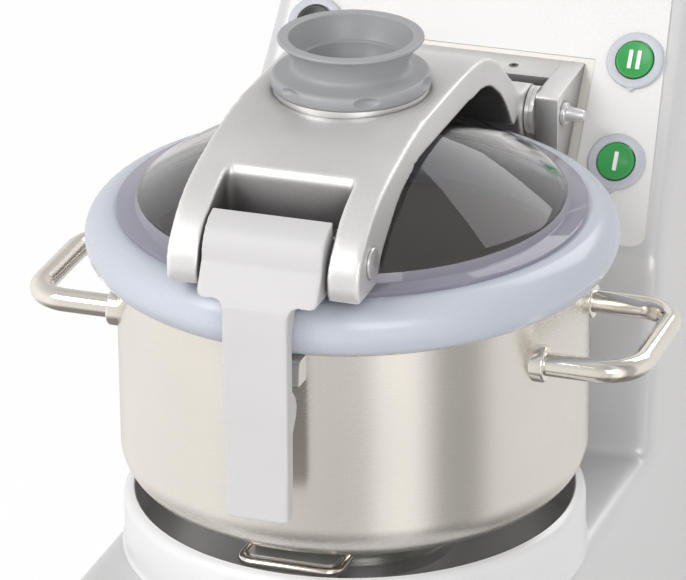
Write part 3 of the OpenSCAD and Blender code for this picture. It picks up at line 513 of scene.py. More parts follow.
@dataclass(frozen=True)
class Finish:
    """One surface finish with grain, tone and polish that vary over it."""

    name: str  # The material's name
    tone: Point  # Main colour
    dark: Point  # Colour in the grain's hollows
    metal: float = 0.0  # Metallic share
    rough: Flat = (0.35, 0.5)  # Lowest and highest roughness
    grain: float = 900.0  # Facets of grain to a metre
    stretch: Point = (1.0, 1.0, 1.0)  # Stretch of the grain along each axis
    depth: float = 0.00004  # Depth of the relief in metres
    blotch: float = 14.0  # Size to a metre of the slow change of tone
    coat: float = 0.0  # Clear coat
    through: float = 0.0  # Transmission
    ior: float = 1.45  # Index of refraction
    turned: float = 0.0  # Share of the highlight drawn out along the turning marks
    speckle: float = 0.5  # Share of the fine grain in the colour
    worn: float = 0.0  # Share of the painted highlight tone on the rounded edges
    recess: float = 0.0  # Share of the painted shade tone in the recesses
    # Distance from the bowl's axis in metres beyond which the tint starts, or zero for none
    band: float = 0.0
    tint: Point = (1.0, 1.0, 1.0)  # Colour beyond that distance

    def build(self) -> bpy.types.Material:
        """Makes the material's nodes.

        Returns:
            The material, made once and then reused.
        """
        known = bpy.data.materials.get(self.name)
        if known:
            return known
        mat = bpy.data.materials.new(self.name)
        graph = Graph(mat)
        place = graph.add("TexCoord").outputs["Object"]
        about = {"Vector": place, "Location": (0, -AXIS_Y, 0), "Scale": self.stretch}
        aim = graph.add("Mapping", about).outputs["Vector"]
        fine = graph.noise(aim, self.grain, FINE_OCTAVES)
        slow = graph.noise(place, self.blotch, SLOW_OCTAVES)
        blend = graph.add("Mix", {"Factor": self.speckle, "A": slow, "B": fine}).outputs["Result"]
        ramp = graph.add("ValToRGB", {"Fac": blend})
        for stop, position, tone in zip(ramp.color_ramp.elements, TONE_SPAN, (self.dark, self.tone)):
            stop.position, stop.color = position, (*tone, 1)
        bump = graph.add("Bump", {"Distance": self.depth, "Height": fine})
        low, high = ROUGH_SPAN
        shader = graph.fill(graph.nodes["Principled BSDF"], {
            "Metallic": self.metal, "Coat Weight": self.coat, "Coat Roughness": COAT_ROUGH, "IOR": self.ior,
            "Transmission Weight": self.through, "Anisotropic": self.turned,
            "Anisotropic Rotation": QUARTER_TURN,
            "Roughness": graph.spread(blend, (low, self.rough[0]), (high, self.rough[1])),
            "Normal": bump.outputs["Normal"]})
        colour = ramp.outputs["Color"]
        # Painted highlight: rounded edges, found by pointiness, are blended towards a pale tone
        if self.worn > 0:
            bulge = graph.add("NewGeometry").outputs["Pointiness"]
            bright = graph.spread(bulge, (EDGE_SPAN[0], 0.0), (EDGE_SPAN[1], self.worn))
            colour = graph.tone(colour, HIGHLIGHT_TONE, bright)
        # Painted shade: recesses, found by ambient occlusion, are blended towards a dark tone
        if self.recess > 0:
            open_share = graph.add("AmbientOcclusion", {"Distance": RECESS_REACH}).outputs["AO"]
            shade_share = graph.spread(open_share, (RECESS_SPAN[0], 0.0), (RECESS_SPAN[1], self.recess))
            colour = graph.tone(colour, SHADE_TONE, shade_share)
        if self.band > 0:
            level = graph.add("VectorMath", {0: aim, 1: (1, 1, 0)}, operation="MULTIPLY").outputs["Vector"]
            reach = graph.add("VectorMath", {0: level}, operation="LENGTH").outputs["Value"]
            end = self.band + BAND_BLUR
            colour = graph.tone(colour, self.tint, graph.spread(reach, (self.band, 0.0), (end, 1.0)))
            glassy = graph.spread(reach, (self.band, self.through), (end, BAND_CLEAR))
            graph.fill(shader, {"Transmission Weight": glassy})
        graph.fill(shader, {"Base Color": colour})
        if self.turned > 0:
            tangent = graph.add("Tangent", direction_type="RADIAL", axis="Z")
            graph.fill(shader, {"Tangent": tangent.outputs["Tangent"]})
        return mat


def plain(name: str, tone: Point, share: float = 0.85, **more: object) -> Finish:
    """Makes a finish whose hollows are a little darker than its tone.

    Args:
        name: The material's name.
        tone: Main colour.
        share: Brightness of the hollows against the tone.
        more: Further values of the finish.

    Returns:
        The finish.
    """
    return Finish(name, tone, tuple(c * share for c in tone), **more)


PAINT = plain(
    "silver_grey_paint", (0.63, 0.63, 0.64), 0.955, rough=(0.3, 0.42), grain=1400.0, depth=0.00003,
    coat=0.25, metal=0.15)
RIM_PAINT = plain(
    "pale_silver_paint", (0.74, 0.74, 0.755), 0.95, rough=(0.28, 0.38), grain=1400.0, depth=0.00002,
    coat=0.3, metal=0.1)
BOWL_STEEL = plain(
    "turned_bowl_steel", (0.80, 0.77, 0.72), 0.93, metal=1.0, rough=(0.22, 0.32), grain=160.0,
    stretch=(1.0, 1.0, 34.0), depth=0.00001, turned=0.75)
SEAT_STEEL = plain(
    "turned_seat_steel", (0.62, 0.61, 0.59), 0.85, metal=1.0, rough=(0.25, 0.4), grain=200.0,
    stretch=(1.0, 1.0, 20.0), turned=0.5)
BAR_STEEL = plain(
    "polished_bar_steel", (0.86, 0.82, 0.76), 0.96, metal=1.0, rough=(0.06, 0.14), grain=500.0,
    depth=0.000008)
BLADE_STEEL = plain(
    "ground_blade_steel", (0.78, 0.78, 0.78), 0.9, metal=1.0, rough=(0.12, 0.24), grain=260.0,
    stretch=(6.0, 1.0, 1.0))
# Its rounded edges carry a painted highlight and its recesses a painted shade
CAST_METAL = plain(
    "satin_cast_aluminium", (0.73, 0.722, 0.715), 0.86, metal=0.55, rough=(0.3, 0.46), grain=1500.0,
    depth=0.00007, worn=0.8, recess=0.95)
MACHINED = plain(
    "machined_aluminium", (0.82, 0.81, 0.80), 0.92, metal=0.8, rough=(0.28, 0.36), grain=1500.0,
    depth=0.000004, speckle=0.3)
LEVER_GREY = plain(
    "warm_grey_moulding", (0.545, 0.54, 0.545), 0.96, rough=(0.36, 0.46), grain=1800.0, depth=0.00002)
HOPPER_GREY = plain(
    "mid_grey_moulding", (0.33, 0.335, 0.35), 0.93, rough=(0.34, 0.46), grain=1600.0, depth=0.00002)
RING_BLUE = plain(
    "pale_blue_ring", (0.49, 0.52, 0.595), 0.96, rough=(0.2, 0.3), grain=1200.0, depth=0.00001, coat=0.15)
CLEAR = plain(
    "clear_dome", (0.93, 0.93, 0.95), 0.99, rough=(0.0, 0.02), grain=60.0, depth=0.0000004, through=1.0,
    ior=1.38, band=0.1265, tint=(0.36, 0.35, 0.43))
# A darker, less metallic copy of the bowl's steel for its inside faces: painted shade
BOWL_INSIDE_SHADED = plain(
    "bowl_inside_shaded_steel", (0.55, 0.505, 0.48), 0.93, metal=0.4, rough=(0.4, 0.5), grain=160.0,
    stretch=(1.0, 1.0, 8.0), depth=0.0000005, speckle=0.08)
GASKET = plain("grey_silicone", (0.42, 0.45, 0.5), 0.9, rough=(0.5, 0.65))
OVERLAY = plain(
    "white_overlay", (0.76, 0.755, 0.745), 0.99, rough=(0.22, 0.3), grain=700.0, depth=0.00001, coat=0.3)
BEIGE = plain("beige_plate", (0.70, 0.67, 0.63), 0.96, rough=(0.35, 0.5), metal=0.2)
BEZEL = plain("light_grey_bezel", (0.53, 0.545, 0.6), 0.96, rough=(0.3, 0.42), coat=0.1)
GREEN = plain("green_cap", (0.03, 0.33, 0.075), 0.93, rough=(0.35, 0.45), coat=0.1)
RED = plain("red_cap", (0.55, 0.02, 0.02), 0.9, rough=(0.22, 0.32), coat=0.3)
BLACK = plain("black_moulding", (0.03, 0.03, 0.03), 0.8, rough=(0.3, 0.45), coat=0.1)
WHITE = plain("white_mark", (0.88, 0.88, 0.88), 0.97, rough=(0.3, 0.4))
RUBBER = plain("black_rubber", (0.03, 0.03, 0.03), 0.7, rough=(0.6, 0.75), depth=0.00008)
ZINC = plain("zinc_plate", (0.66, 0.65, 0.63), 0.85, metal=1.0, rough=(0.25, 0.4))
DARK_SCREW = plain("dark_screw", (0.2, 0.19, 0.18), 0.8, metal=1.0, rough=(0.3, 0.45))
SHEET = plain(
    "galvanised_sheet", (0.6, 0.61, 0.62), 0.85, metal=1.0, rough=(0.3, 0.5), grain=90.0, blotch=40.0)
LAMINATION = plain(
    "laminated_steel", (0.16, 0.16, 0.17), 0.7, metal=0.8, rough=(0.45, 0.6), grain=300.0,
    stretch=(1.0, 1.0, 12.0))
COPPER = plain(
    "varnished_copper", (0.5, 0.2, 0.07), 0.7, metal=0.7, rough=(0.25, 0.4), coat=0.4, grain=500.0,
    stretch=(1.0, 1.0, 6.0))
CASE = plain("pale_case", (0.68, 0.67, 0.62), 0.93, rough=(0.4, 0.5))
LAMINATE = plain("green_laminate", (0.02, 0.14, 0.06), 0.8, rough=(0.25, 0.4), coat=0.3)


def finish(obj: Piece, look: Finish, body: str, nodes: tuple[str, ...], angle: float) -> None:
    """Dresses a new piece and ties it to its body.

    Args:
        obj: The piece.
        look: Its finish.
        body: Name of the body that carries it.
        nodes: Nodes of the frame that it stands for.
        angle: Edges up to this many degrees are shaded smooth.
    """
    obj.data.materials.clear()
    obj.data.materials.append(look.build())
    pick(obj)
    bpy.ops.object.shade_smooth_by_angle(angle=math.radians(angle))
    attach(obj, body)
    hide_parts(*nodes)
    clear()
    log.info("%s: %d faces", obj.name, len(obj.data.polygons))


def dress(look: Finish, *nodes: str) -> None:
    """Gives nodes that stay as the frame draws them a finish.

    Args:
        look: The finish.
        nodes: The nodes' names.
    """
    for name in nodes:
        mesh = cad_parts[name].data
        mesh.materials.clear()
        mesh.materials.append(look.build())


@dataclass
class Housing:
    """The painted base with its deck, the collar under the bowl and the inclined column."""

    half: float = 141.0  # Half width of the base at the deck
    flare: float = 8.0  # Extra half width at the floor
    front: float = 164.0  # Distance of the front from the bowl's axis
    back: float = 376.0  # Distance of the back
    edge: float = 12.0  # Rounding of the deck's edge
    # Half width and place of each column corner
    column: list[Point] = field(default_factory=lambda: [
        (139.0, 158.0, 166.0), (144.0, 158.0, 318.4), (122.0, 357.0, 585.0), (122.0, 376.0, 585.0),
        (139.0, 376.0, 166.0)])

    def build(self) -> None:
        """Builds and dresses the housing's pieces."""
        base = self.base()
        cut(base, self.tower(), "UNION")
        cast(base, 0.0036, 3)
        finish(base, PAINT, Body.BASE.value, ("housing",), 60)
        finish(self.collar(), RIM_PAINT, Body.BASE.value, ("housing",), 40)

    def base(self) -> Piece:
        """Makes the base with its round front corners and flared skirt.

        Returns:
            The base.
        """
        h, front, back = self.half, -self.front, self.back
        corners = [(-h, front), (h, front), (h, back), (-h, back)]
        outline = soften(corners, [60.0, 60.0, 20.0, 20.0], 12)
        wide = (self.half + self.flare) / self.half
        points = [at(x * wide, y, -373 + 12) for x, y in outline]
        obj = draw_line("deck_and_column", points, True)
        bpy.ops.mesh.edge_face_add()
        bpy.ops.mesh.extrude_region_move(TRANSFORM_OT_translate={"value": (0, 0, DECK_Z - FLOOR_GAP)})
        bpy.ops.transform.resize(value=(1 / wide, 1, 1))
        bpy.ops.mesh.bevel(offset=self.edge / 1000, segments=6, affect="EDGES")
        seal()
        return obj

    def tower(self) -> Piece:
        """Makes the column as the hull of its corners, with its edges rounded.

        Returns:
            The column.
        """
        points = [at(s * x, y, z - 373) for s in (-1, 1) for x, y, z in self.column]
        obj = draw_line("column", points)
        bpy.ops.mesh.convex_hull()
        bpy.ops.mesh.select_all(action="SELECT")
        bpy.ops.mesh.dissolve_limited(angle_limit=math.radians(4))
        clear()
        ease(obj, 0.010, 5, 20)
        return obj

    def collar(self) -> Piece:
        """Turns the collar with its rounded rim and the fillet at its foot.

        Returns:
            The collar.
        """
        outer = [(132.0, -186.0), (140.6, -186.0), (140.6, -182.6), (139.4, -181.4), (139.0, -179.0)]
        rim = [*outer, *arc((131.5, -154.5), 7.5, 0, 75, 8), *arc((133.4, -148.4), 1.4, 100, 180, 4),
               (132.0, -150.0)]
        return lathe("bowl_collar", rim)


@dataclass
class Bowl:
    """The steel bowl with its handles, catch and loop."""

    radius: float = 140.0  # Outer radius
    height: float = 138.0  # Height from underside to rim
    corner: float = 25.0  # Rounding of the lower corner
    sheet: float = 1.5  # Thickness
    drop: float = 31.6  # Distance of the handles below the rim
    reach: float = 187.0  # Distance of the handle's outer bar from the axis
    spread: float = 48.0  # Half distance between a handle's legs
    bar: float = 7.0  # Radius of the handle's bar
    bend: float = 22.0  # Radius of the handle's bends

    def build(self) -> None:
        """Builds and dresses the bowl's pieces."""
        shell = self.shell()
        finish(shell, BOWL_STEEL, Body.BASE.value, ("bowl",), 40)
        # The inside faces and the floor of the bowl take the darker copy: painted shade inside the bowl
        shell.data.materials.append(BOWL_INSIDE_SHADED.build())
        for face in shell.data.polygons:
            out = Vector((face.center.x, face.center.y - AXIS_Y, 0))
            floor = face.normal.z > 0.5 and face.center.z < RIM_Z - self.height / 2000
            if floor or out.dot(Vector((face.normal.x, face.normal.y, 0))) < -0.3 * out.length:
                face.material_index = 1
        for side, name in ((-1, "handle_left"), (1, "handle_right")):
            finish(self.handle(side, name), BAR_STEEL, Body.BASE.value, (name,), 50)
        finish(self.loop(), BAR_STEEL, Body.BASE.value, ("bowl_loop",), 50)
        finish(self.tab(), MACHINED, Body.BASE.value, ("bowl_loop",), 40)
        dress(MACHINED, "bowl_catch")

    def shell(self) -> Piece:
        """Turns the bowl with its rolled rim and central tube.

        Returns:
            The bowl.
        """
        low, r, t = -self.height, self.radius, self.sheet
        mid = (r - self.corner, low + self.corner)
        line = [(23.5, low), *arc(mid, self.corner, 270, 360, 16), (r, -3.0),
                *arc((r + 0.6, -1.2), 1.2, -60, 90, 8), (r - t, 0.0),
                *arc(mid, self.corner - t, 360, 270, 16), (25.0, low + t), (25.0, low + 84), (23.5, low + 84)]
        return lathe("bowl_shell", line)

    def handle(self, side: int, name: str) -> Piece:
        """Bends a handle's bar and adds its two round feet.

        Args:
            side: Minus one for the left handle, one for the right.
            name: The piece's name.

        Returns:
            The handle.
        """
        root = math.sqrt(self.radius**2 - self.spread**2)
        leg, arm, z = self.reach - self.bend, self.spread - self.bend, -self.drop
        plan = [(root - 6, -self.spread), *arc((leg, -arm), self.bend, -90, 0, 14),
                *arc((leg, arm), self.bend, 0, 90, 14), (root - 6, self.spread)]
        bar = tube(name + "_bar", [at(side * x, y, z) for x, y in plan], self.bar / 1000)
        for hand in (-1, 1):
            ends = [at(side * x, hand * self.spread, z) for x in (root - 8, root + 4)]
            foot = rod("foot", *ends, 0.011, edge=0.0016)
            cut(bar, foot, "UNION")
        ends = at(0, 0, z - 30), at(0, 0, z + 30)
        cut(bar, rod("bowl_space", *ends, self.radius / 1000, edge=0, sides=192))
        return bar

    def loop(self) -> Piece:
        """Bends the bar loop that shows below the bowl.

        Returns:
            The loop.
        """
        z = -self.height - 11
        plan = [(-30, -97), *arc((-22, -113), 8, 180, 270, 8), *arc((22, -113), 8, 270, 360, 8), (30, -97)]
        route = [at(-30, -97, -self.height), *[at(x, y, z) for x, y in plan], at(30, -97, -self.height)]
        return tube("loop_bar", route, 0.003, 4)

    def tab(self) -> Piece:
        """Makes the flat tab inside the loop.

        Returns:
            The tab.
        """
        z = -self.height - 10
        corners = [(-27.0, -116.5), (27.0, -116.5), (27.0, -99.0), (-27.0, -99.0)]
        outline = soften(corners, [6.0, 6.0, 1.0, 1.0])
        return prism("loop_tab", [at(x, y, z) for x, y in outline], (0, 0, 0.002))


@dataclass
class Lid:
    """The clear dome and the soft ring round it."""

    height: float = 33.0  # Height of the ring
    dome: float = 126.0  # Radius of the dome's foot
    crown: float = 86.0  # Height of its crown
    flat: float = 47.0  # Radius of the flat crown

    def build(self) -> None:
        """Builds and dresses the lid's pieces."""
        finish(self.soft_ring(), RING_BLUE, Body.ARM.value, ("lid_ring",), 40)
        finish(self.clear_dome(), CLEAR, Body.ARM.value, ("lid_dome",), 50)
        dress(GASKET, "lid_gasket")

    def soft_ring(self) -> Piece:
        """Turns the ring with its round outside and its flat land.

        Returns:
            The ring.
        """
        h = self.height
        line = [(136.0, 0.3), *arc((141.0, h / 2), 17.0, -72, 75, 24), (141.5, h + 0.2), (140.0, h),
                (127.4, h), (127.0, h - 0.6), (127.0, h - 6), (136.0, h - 6)]
        return lathe("soft_ring", line)

    def clear_dome(self) -> Piece:
        """Turns the dome with its stepped flange.

        Returns:
            The dome.
        """
        foot = self.height + 10
        outer = []
        for i in range(25):
            r = self.flat + (self.dome - self.flat) * i / 24
            top = 1 - (self.flat / self.dome) ** 1.5
            outer.append((r, foot + (self.crown - foot) * (1 - (r / self.dome) ** 1.5) / top))
        inner = [(r - 2.5, z - 2.5) for r, z in reversed(outer)]
        line = [(32.0, self.crown), *outer, (127.0, foot - 1.6), (127.4, 36.6), (128.2, 36.0), (138.2, 36.0),
                (139.0, 35.4), (139.0, 33.0), (123.5, 33.0), *inner, (32.0, self.crown - 2.5)]
        return lathe("dome_shell", line)


@dataclass
class Arm:
    """The cast arm over the lid, with its seat and the lever's pin."""

    width: float = 115.0  # Width of the arm
    fork: float = 77.0  # Width of the gap in its fork
    fork_back: float = -105.0  # Distance of the gap's rear wall before the axis
    boss: float = 104.0  # Width of the hinge boss
    # Places along its top, from the fork's foot to the hinge
    upper: list[Flat] = field(default_factory=lambda: [
        (-154, 39), (-156.4, 50), (-151.2, 64), (-135.2, 79), (-114, 90), (-80, 99.1), (-46, 104.9),
        (-18.4, 106), (46, 106), (81, 101), (104, 90), (128.8, 70), (160, 49), (184, 45)])
    # Places along its underside, from the hinge to the fork
    lower: list[Flat] = field(default_factory=lambda: [
        (184, 13.2), (170, 16), (162, 30), (150, 37), (133, 38.5), (124, 50), (113, 63), (101, 72.5),
        (81, 83), (47, 86.3), (-47, 86.3), (-58, 83.7), (-81, 76.9), (-99, 65.5), (-114, 54), (-124, 39)])

    def build(self) -> None:
        """Builds and dresses the arm's pieces."""
        finish(self.casting(), CAST_METAL, Body.ARM.value, ("lid_arm",), 60)
        finish(self.pin(), MACHINED, Body.ARM.value, ("lever_pin",), 40)
        dress(MACHINED, "arm_seat")
        dress(DARK_SCREW, "lid_magnet")

    def casting(self) -> Piece:
        """Shapes the arm from its side outline and cuts the fork and the bores.

        Returns:
            The casting.
        """
        side = [*smooth_line(self.upper, 5), *smooth_line(self.lower, 4)]
        obj = across("arm_casting", side, self.width)
        half, neck = self.width / 2, self.boss / 2
        plan = soften([(-half, -170), (half, -170), (half, 136), (neck, 163), (neck, 215), (-neck, 215),
                       (-neck, 163), (-half, 136)], 8.0, 4)
        cut(obj, prism("plan", [at(x, y, 0) for x, y in plan], (0, 0, 0.13)), "INTERSECT")
        cut(obj, rod("boss", at(-neck, *HINGE), at(neck, *HINGE), 0.016, edge=0), "UNION")
        gap = soften([(-self.fork / 2, -190), (self.fork / 2, -190), (self.fork / 2, self.fork_back),
                      (-self.fork / 2, self.fork_back)], [0, 0, 4.0, 4.0], 5)
        cut(obj, prism("fork_gap", [at(x, y, 0) for x, y in gap], (0, 0, 0.13)))
        wedge = [(-112, 88.5), (-105.2, 88.5), (-100.2, 98), (-100.2, 115), (-112, 115)]
        cut(obj, across("fork_chamfer", wedge, self.fork - 1))
        cut(obj, rod("hopper_bore", at(0, 0, 60), at(0, 0, 130), 0.0313, edge=0))
        cut(obj, rod("seat_bore", at(0, 0, 104), at(0, 0, 130), 0.046, edge=0))
        cut(obj, rod("pin_bore", at(-80, *HINGE), at(80, *HINGE), 0.0051, edge=0))
        cut(obj, rod("lever_bore", at(-80, *LEVER_PIN), at(80, *LEVER_PIN), 0.0045, edge=0))
        cast(obj, 0.0014, 5)
        return obj

    def pin(self) -> Piece:
        """Makes the lever's pin with its two flat heads.

        Returns:
            The pin.
        """
        half = self.width / 2
        parts = [rod("pin", at(-half, *LEVER_PIN), at(half, *LEVER_PIN), 0.00445)]
        for s in (-1, 1):
            ends = at(s * (half - 0.1), *LEVER_PIN), at(s * (half + 1.5), *LEVER_PIN)
            parts.append(rod("head", *ends, 0.009, edge=0.0005))
        return join("lever_pin_heads", *parts)


@dataclass
class Lever:
    """The closing lever: a barrel in the fork and a handle down the front."""

    barrel: float = 72.0  # Width of the barrel
    handle: float = 39.6  # Width of the handle at its top
    tip: float = 37.6  # Width of the handle at its lower end
    step: float = 38.0  # Height where the barrel narrows to the handle
    low: float = -96.0  # Height of the handle's lower end

    def build(self) -> None:
        """Builds and dresses the lever."""
        finish(self.moulding(), LEVER_GREY, Body.LEVER.value, ("lever",), 60)

    def moulding(self) -> Piece:
        """Shapes the lever from its side and front outlines.

        Returns:
            The lever.
        """
        side = [*arc(LEVER_PIN, 24, 100, 180, 14), (-169, 34), (-170, 20), (-170, self.low),
                (-160.5, self.low), (-160.5, -43.5), (-154, -34), (-153, -28), (-155, -22), (-160.5, -16),
                (-160.5, 17.5), (-152.3, 35), *arc(LEVER_PIN, 12, 235, 460, 16)]
        obj = across("lever_moulding", side, self.barrel)
        wide, slim, tip = self.barrel / 2, self.handle / 2, self.tip / 2
        corners = [(-wide, 95), (-wide, self.step), (-slim, self.step), (-tip, self.low),
                   (tip, self.low), (slim, self.step), (wide, self.step), (wide, 95)]
        front = soften(corners, [0, 3.0, 8.0, 3.0, 3.0, 8.0, 3.0, 0])
        cut(obj, prism("front", [at(x, -200, z) for x, z in front], (0, 0.12, 0)), "INTERSECT")
        cut(obj, rod("pin_bore", at(-60, *LEVER_PIN), at(60, *LEVER_PIN), 0.00455, edge=0))
        cast(obj, 0.001, 4)
        return obj


@dataclass
class Hopper:
    """The feed hopper that turns on the arm's seat."""

    foot: float = 108.9  # Height of its flange's underside
    tall: float = 30.0  # Height above the flange
    scoops: int = 6  # Number of thumb recesses in the flange

    def build(self) -> None:
        """Builds and dresses the hopper."""
        finish(self.cup(), HOPPER_GREY, Body.HOPPER.value, ("hopper",), 45)

    def cup(self) -> Piece:
        """Turns the hopper and cuts its thumb recesses.

        Returns:
            The hopper.
        """
        f, t = self.foot, self.foot + self.tall
        line = [(24.0, 78.0), (31.0, 78.0), (31.0, f), (46.0, f), (47.0, f + 1),
                *arc((43.5, f + 5), 3.5, 0, 80, 8), (37.0, f + 9.8), *arc((37.0, f + 13.4), 3.2, 250, 170, 6),
                (34.4, f + 17), (36.0, f + 20.5), (42.0, t - 2.2), *arc((41.6, t - 1.4), 1.4, -20, 90, 6),
                *arc((37.6, t - 1.4), 1.4, 90, 180, 6), (33.0, f + 18), (31.6, f + 15.2), (30.6, f + 14.9),
                *arc((30.2, f + 14.1), 0.8, 90, 180, 4), (28.4, f + 9), (25.0, f + 4), (24.0, f + 2)]
        obj = lathe("hopper_cup", line, 160)
        for i in range(self.scoops):
            turn = 2 * math.pi * i / self.scoops
            clear()
            spot = at(55.5 * math.cos(turn), 55.5 * math.sin(turn), f + 5.2)
            bpy.ops.mesh.primitive_uv_sphere_add(segments=40, ring_count=20, radius=0.012, location=spot)
            scoop = bpy.context.object
            scoop.scale.z = 0.42
            cut(obj, scoop)
        return obj


@dataclass
class Hinge:
    """The bracket on the column, its screws, the pin and the washers."""

    width: float = 146.0  # Width over the cheeks
    cheek: float = 15.0  # Thickness of a cheek
    pin: float = 5.0  # Radius of the pin

    def build(self) -> None:
        """Builds and dresses the hinge's pieces."""
        finish(self.bracket(), CAST_METAL, Body.BASE.value, ("hinge_bracket",), 40)
        finish(self.pivot(), MACHINED, Body.BASE.value, ("hinge_pin",), 40)
        dress(MACHINED, "hinge_washers")
        dress(DARK_SCREW, "bracket_screws")
        dress(BEIGE, "hinge_plate")

    def bracket(self) -> Piece:
        """Makes the two cheeks and the web between them, with broken edges.

        Returns:
            The bracket.
        """
        corners = [(231.3, 44.5), (174, 42.5), (174, 6), (182, -5), (194.3, -5)]
        cheek = soften(corners, [0, 3.0, 3.0, 1.0, 0], 5)
        web = [(231.3, 44.5), (206, 42.5), (206, 10.7)]
        cheeks = []
        for s in (-1, 1):
            left = s * (self.width - self.cheek) / 2 - self.cheek / 2
            cheeks.append(prism("cheek", [at(left, y, z) for y, z in cheek], (self.cheek / 1000, 0, 0)))
        obj = across("hinge_bracket_body", web, self.width - self.cheek)
        for part in cheeks:
            cut(obj, part, "UNION")
        ease(obj, 0.0008, 3, 30)
        for x in (-31, 31):
            cut(obj, rod("screw_bore", at(x, 216.9, 30), at(x, 216.9, 50), 0.003, edge=0))
        return obj

    def pivot(self) -> Piece:
        """Makes the pin with its collars and the tapered stud.

        Returns:
            The pin.
        """
        half = self.width / 2
        parts = [rod("pin", at(-half, *HINGE), at(half, *HINGE), self.pin / 1000)]
        for s in (-1, 1):
            parts.append(rod("collar", at(s * half, *HINGE), at(s * (half + 3), *HINGE), 0.007, edge=0.0006))
        parts.append(rod("stud", at(half + 3, *HINGE), at(half + 14, *HINGE), 0.005, 0.00325, edge=0.0005))
        return join("hinge_pivot", *parts)


@dataclass
class Panel:
    """The inclined panel with its four push buttons."""

    tilt: float = 36.75  # Tilt of the panel from the vertical, in degrees
    side: float = 104.8  # Half distance between the columns of buttons
    low: float = 62.3  # Distance up the panel to the lower buttons
    pitch: float = 65.5  # Distance between a lower and an upper button
    plate: float = 1.2  # Thickness of the front plate
    bezel: float = 18.0  # Radius of a bezel
    cap: float = 11.8  # Radius of a cap

    def frame_at(self, u: float, v: float) -> Matrix:
        """Gives the placement of a spot on the panel.

        Args:
            u: Distance to the right in millimetres.
            v: Distance up the slope in millimetres.

        Returns:
            A matrix whose Z leaves the panel.
        """
        bend = Matrix.Translation(at(0, 158, 318.4 - 373))
        turn = Matrix.Rotation(math.radians(90 - self.tilt), 4, "X")
        return bend @ turn @ Matrix.Translation((u / 1000, v / 1000, self.plate / 1000))

    def build(self) -> None:
        """Builds the bezels, caps and marks, and dresses the plate."""
        spots = {"one": (1, 0, GREEN), "two": (1, 1, GREEN), "pulse": (-1, 1, BLACK), "stop": (-1, 0, RED)}
        for name, (s, k, look) in spots.items():
            place = self.frame_at(s * self.side, self.low + k * self.pitch)
            body, bars = "button_" + name, {"one": (0.0,), "two": (-2.7, 2.7)}.get(name, ())
            pieces = [(self.make_bezel(name), BEZEL, Body.BASE.value, "button_bezels"),
                      (self.make_cap(name), look, body, "cap_" + name)]
            pieces += [(self.make_bar(f"{name}_bar_{i}", x), WHITE, body, "mark_" + name)
                       for i, x in enumerate(bars)]
            for piece, finish_of, carrier, node in pieces:
                move(piece, place)
                finish(piece, finish_of, carrier, (node,), 40)
        dress(OVERLAY, "control_panel")
        dress(BLACK, "switch_blocks", "lid_switch")

    def make_bezel(self, name: str) -> Piece:
        """Turns a bezel and adds the small point below it.

        Args:
            name: The button's name.

        Returns:
            The bezel, lying at the origin.
        """
        r = self.bezel
        line = [(self.cap + 0.6, 0.0), (r, 0.0), *arc((r - 1.0, 2.0), 1.0, 0, 90, 5),
                *arc((self.cap + 1.2, 2.4), 0.6, 90, 180, 4)]
        obj = lathe(f"bezel_{name}", line, 96, foot=(0, 0, 0))
        tip = soften([(-3.4, -r + 1.2), (0.0, -r - 2.6), (3.4, -r + 1.2)], [0, 1.0, 0], 4)
        point = prism("point", [(x / 1000, y / 1000, 0) for x, y in tip], (0, 0, 0.0026))
        return join(obj.name, obj, point)

    def make_cap(self, name: str) -> Piece:
        """Turns a push cap with its raised rim and shallow dish.

        Args:
            name: The button's name.

        Returns:
            The cap, lying at the origin.
        """
        r = self.cap
        line = [(0, -15.0), (4.0, -15.0), (4.0, 0.0), (r, 0.0), *arc((r - 0.8, 3.2), 0.8, 0, 90, 5),
                (r - 1.5, 4.0), (r - 2.1, 3.7), (0, 3.6)]
        return lathe(f"push_{name}", line, 96, False, (0, 0, 0))

    def make_bar(self, name: str, x: float) -> Piece:
        """Makes one plain bar of a button's mark.

        Args:
            name: The bar's name.
            x: Its distance from the button's middle in millimetres.

        Returns:
            The bar, lying at the origin.
        """
        line = soften([(x - 1.25, -6.0), (x + 1.25, -6.0), (x + 1.25, 6.0), (x - 1.25, 6.0)], 0.5, 3)
        return prism(name, [(a / 1000, b / 1000, 0.0035) for a, b in line], (0, 0, 0.0008))


class Inside:
    """The drive, the blades and the electrical parts, which keep the frame's shapes."""

    @staticmethod
    def build() -> None:
        """Dresses every node that keeps its shape."""
        dress(SEAT_STEEL, "bowl_seat", "blade_hub", "motor_shaft")
        dress(BLADE_STEEL, "blade_lower", "blade_upper")
        dress(BLACK, "blade_knob", "motor_fan", "cable_gland")
        dress(RUBBER, "feet", "shaft_seal")
        dress(ZINC, "rear_cover_screws", "base_screws", "foot_screws", "motor_bolts", "motor_bearings")
        dress(SHEET, "base_plate")
        dress(PAINT, "rear_cover")
        dress(LAMINATION, "motor_stator", "motor_rotor", "transformer")
        dress(COPPER, "motor_windings")
        dress(CAST_METAL, "motor_end_shields")
        dress(CASE, "contactors", "terminal_block")
        dress(LAMINATE, "control_board")


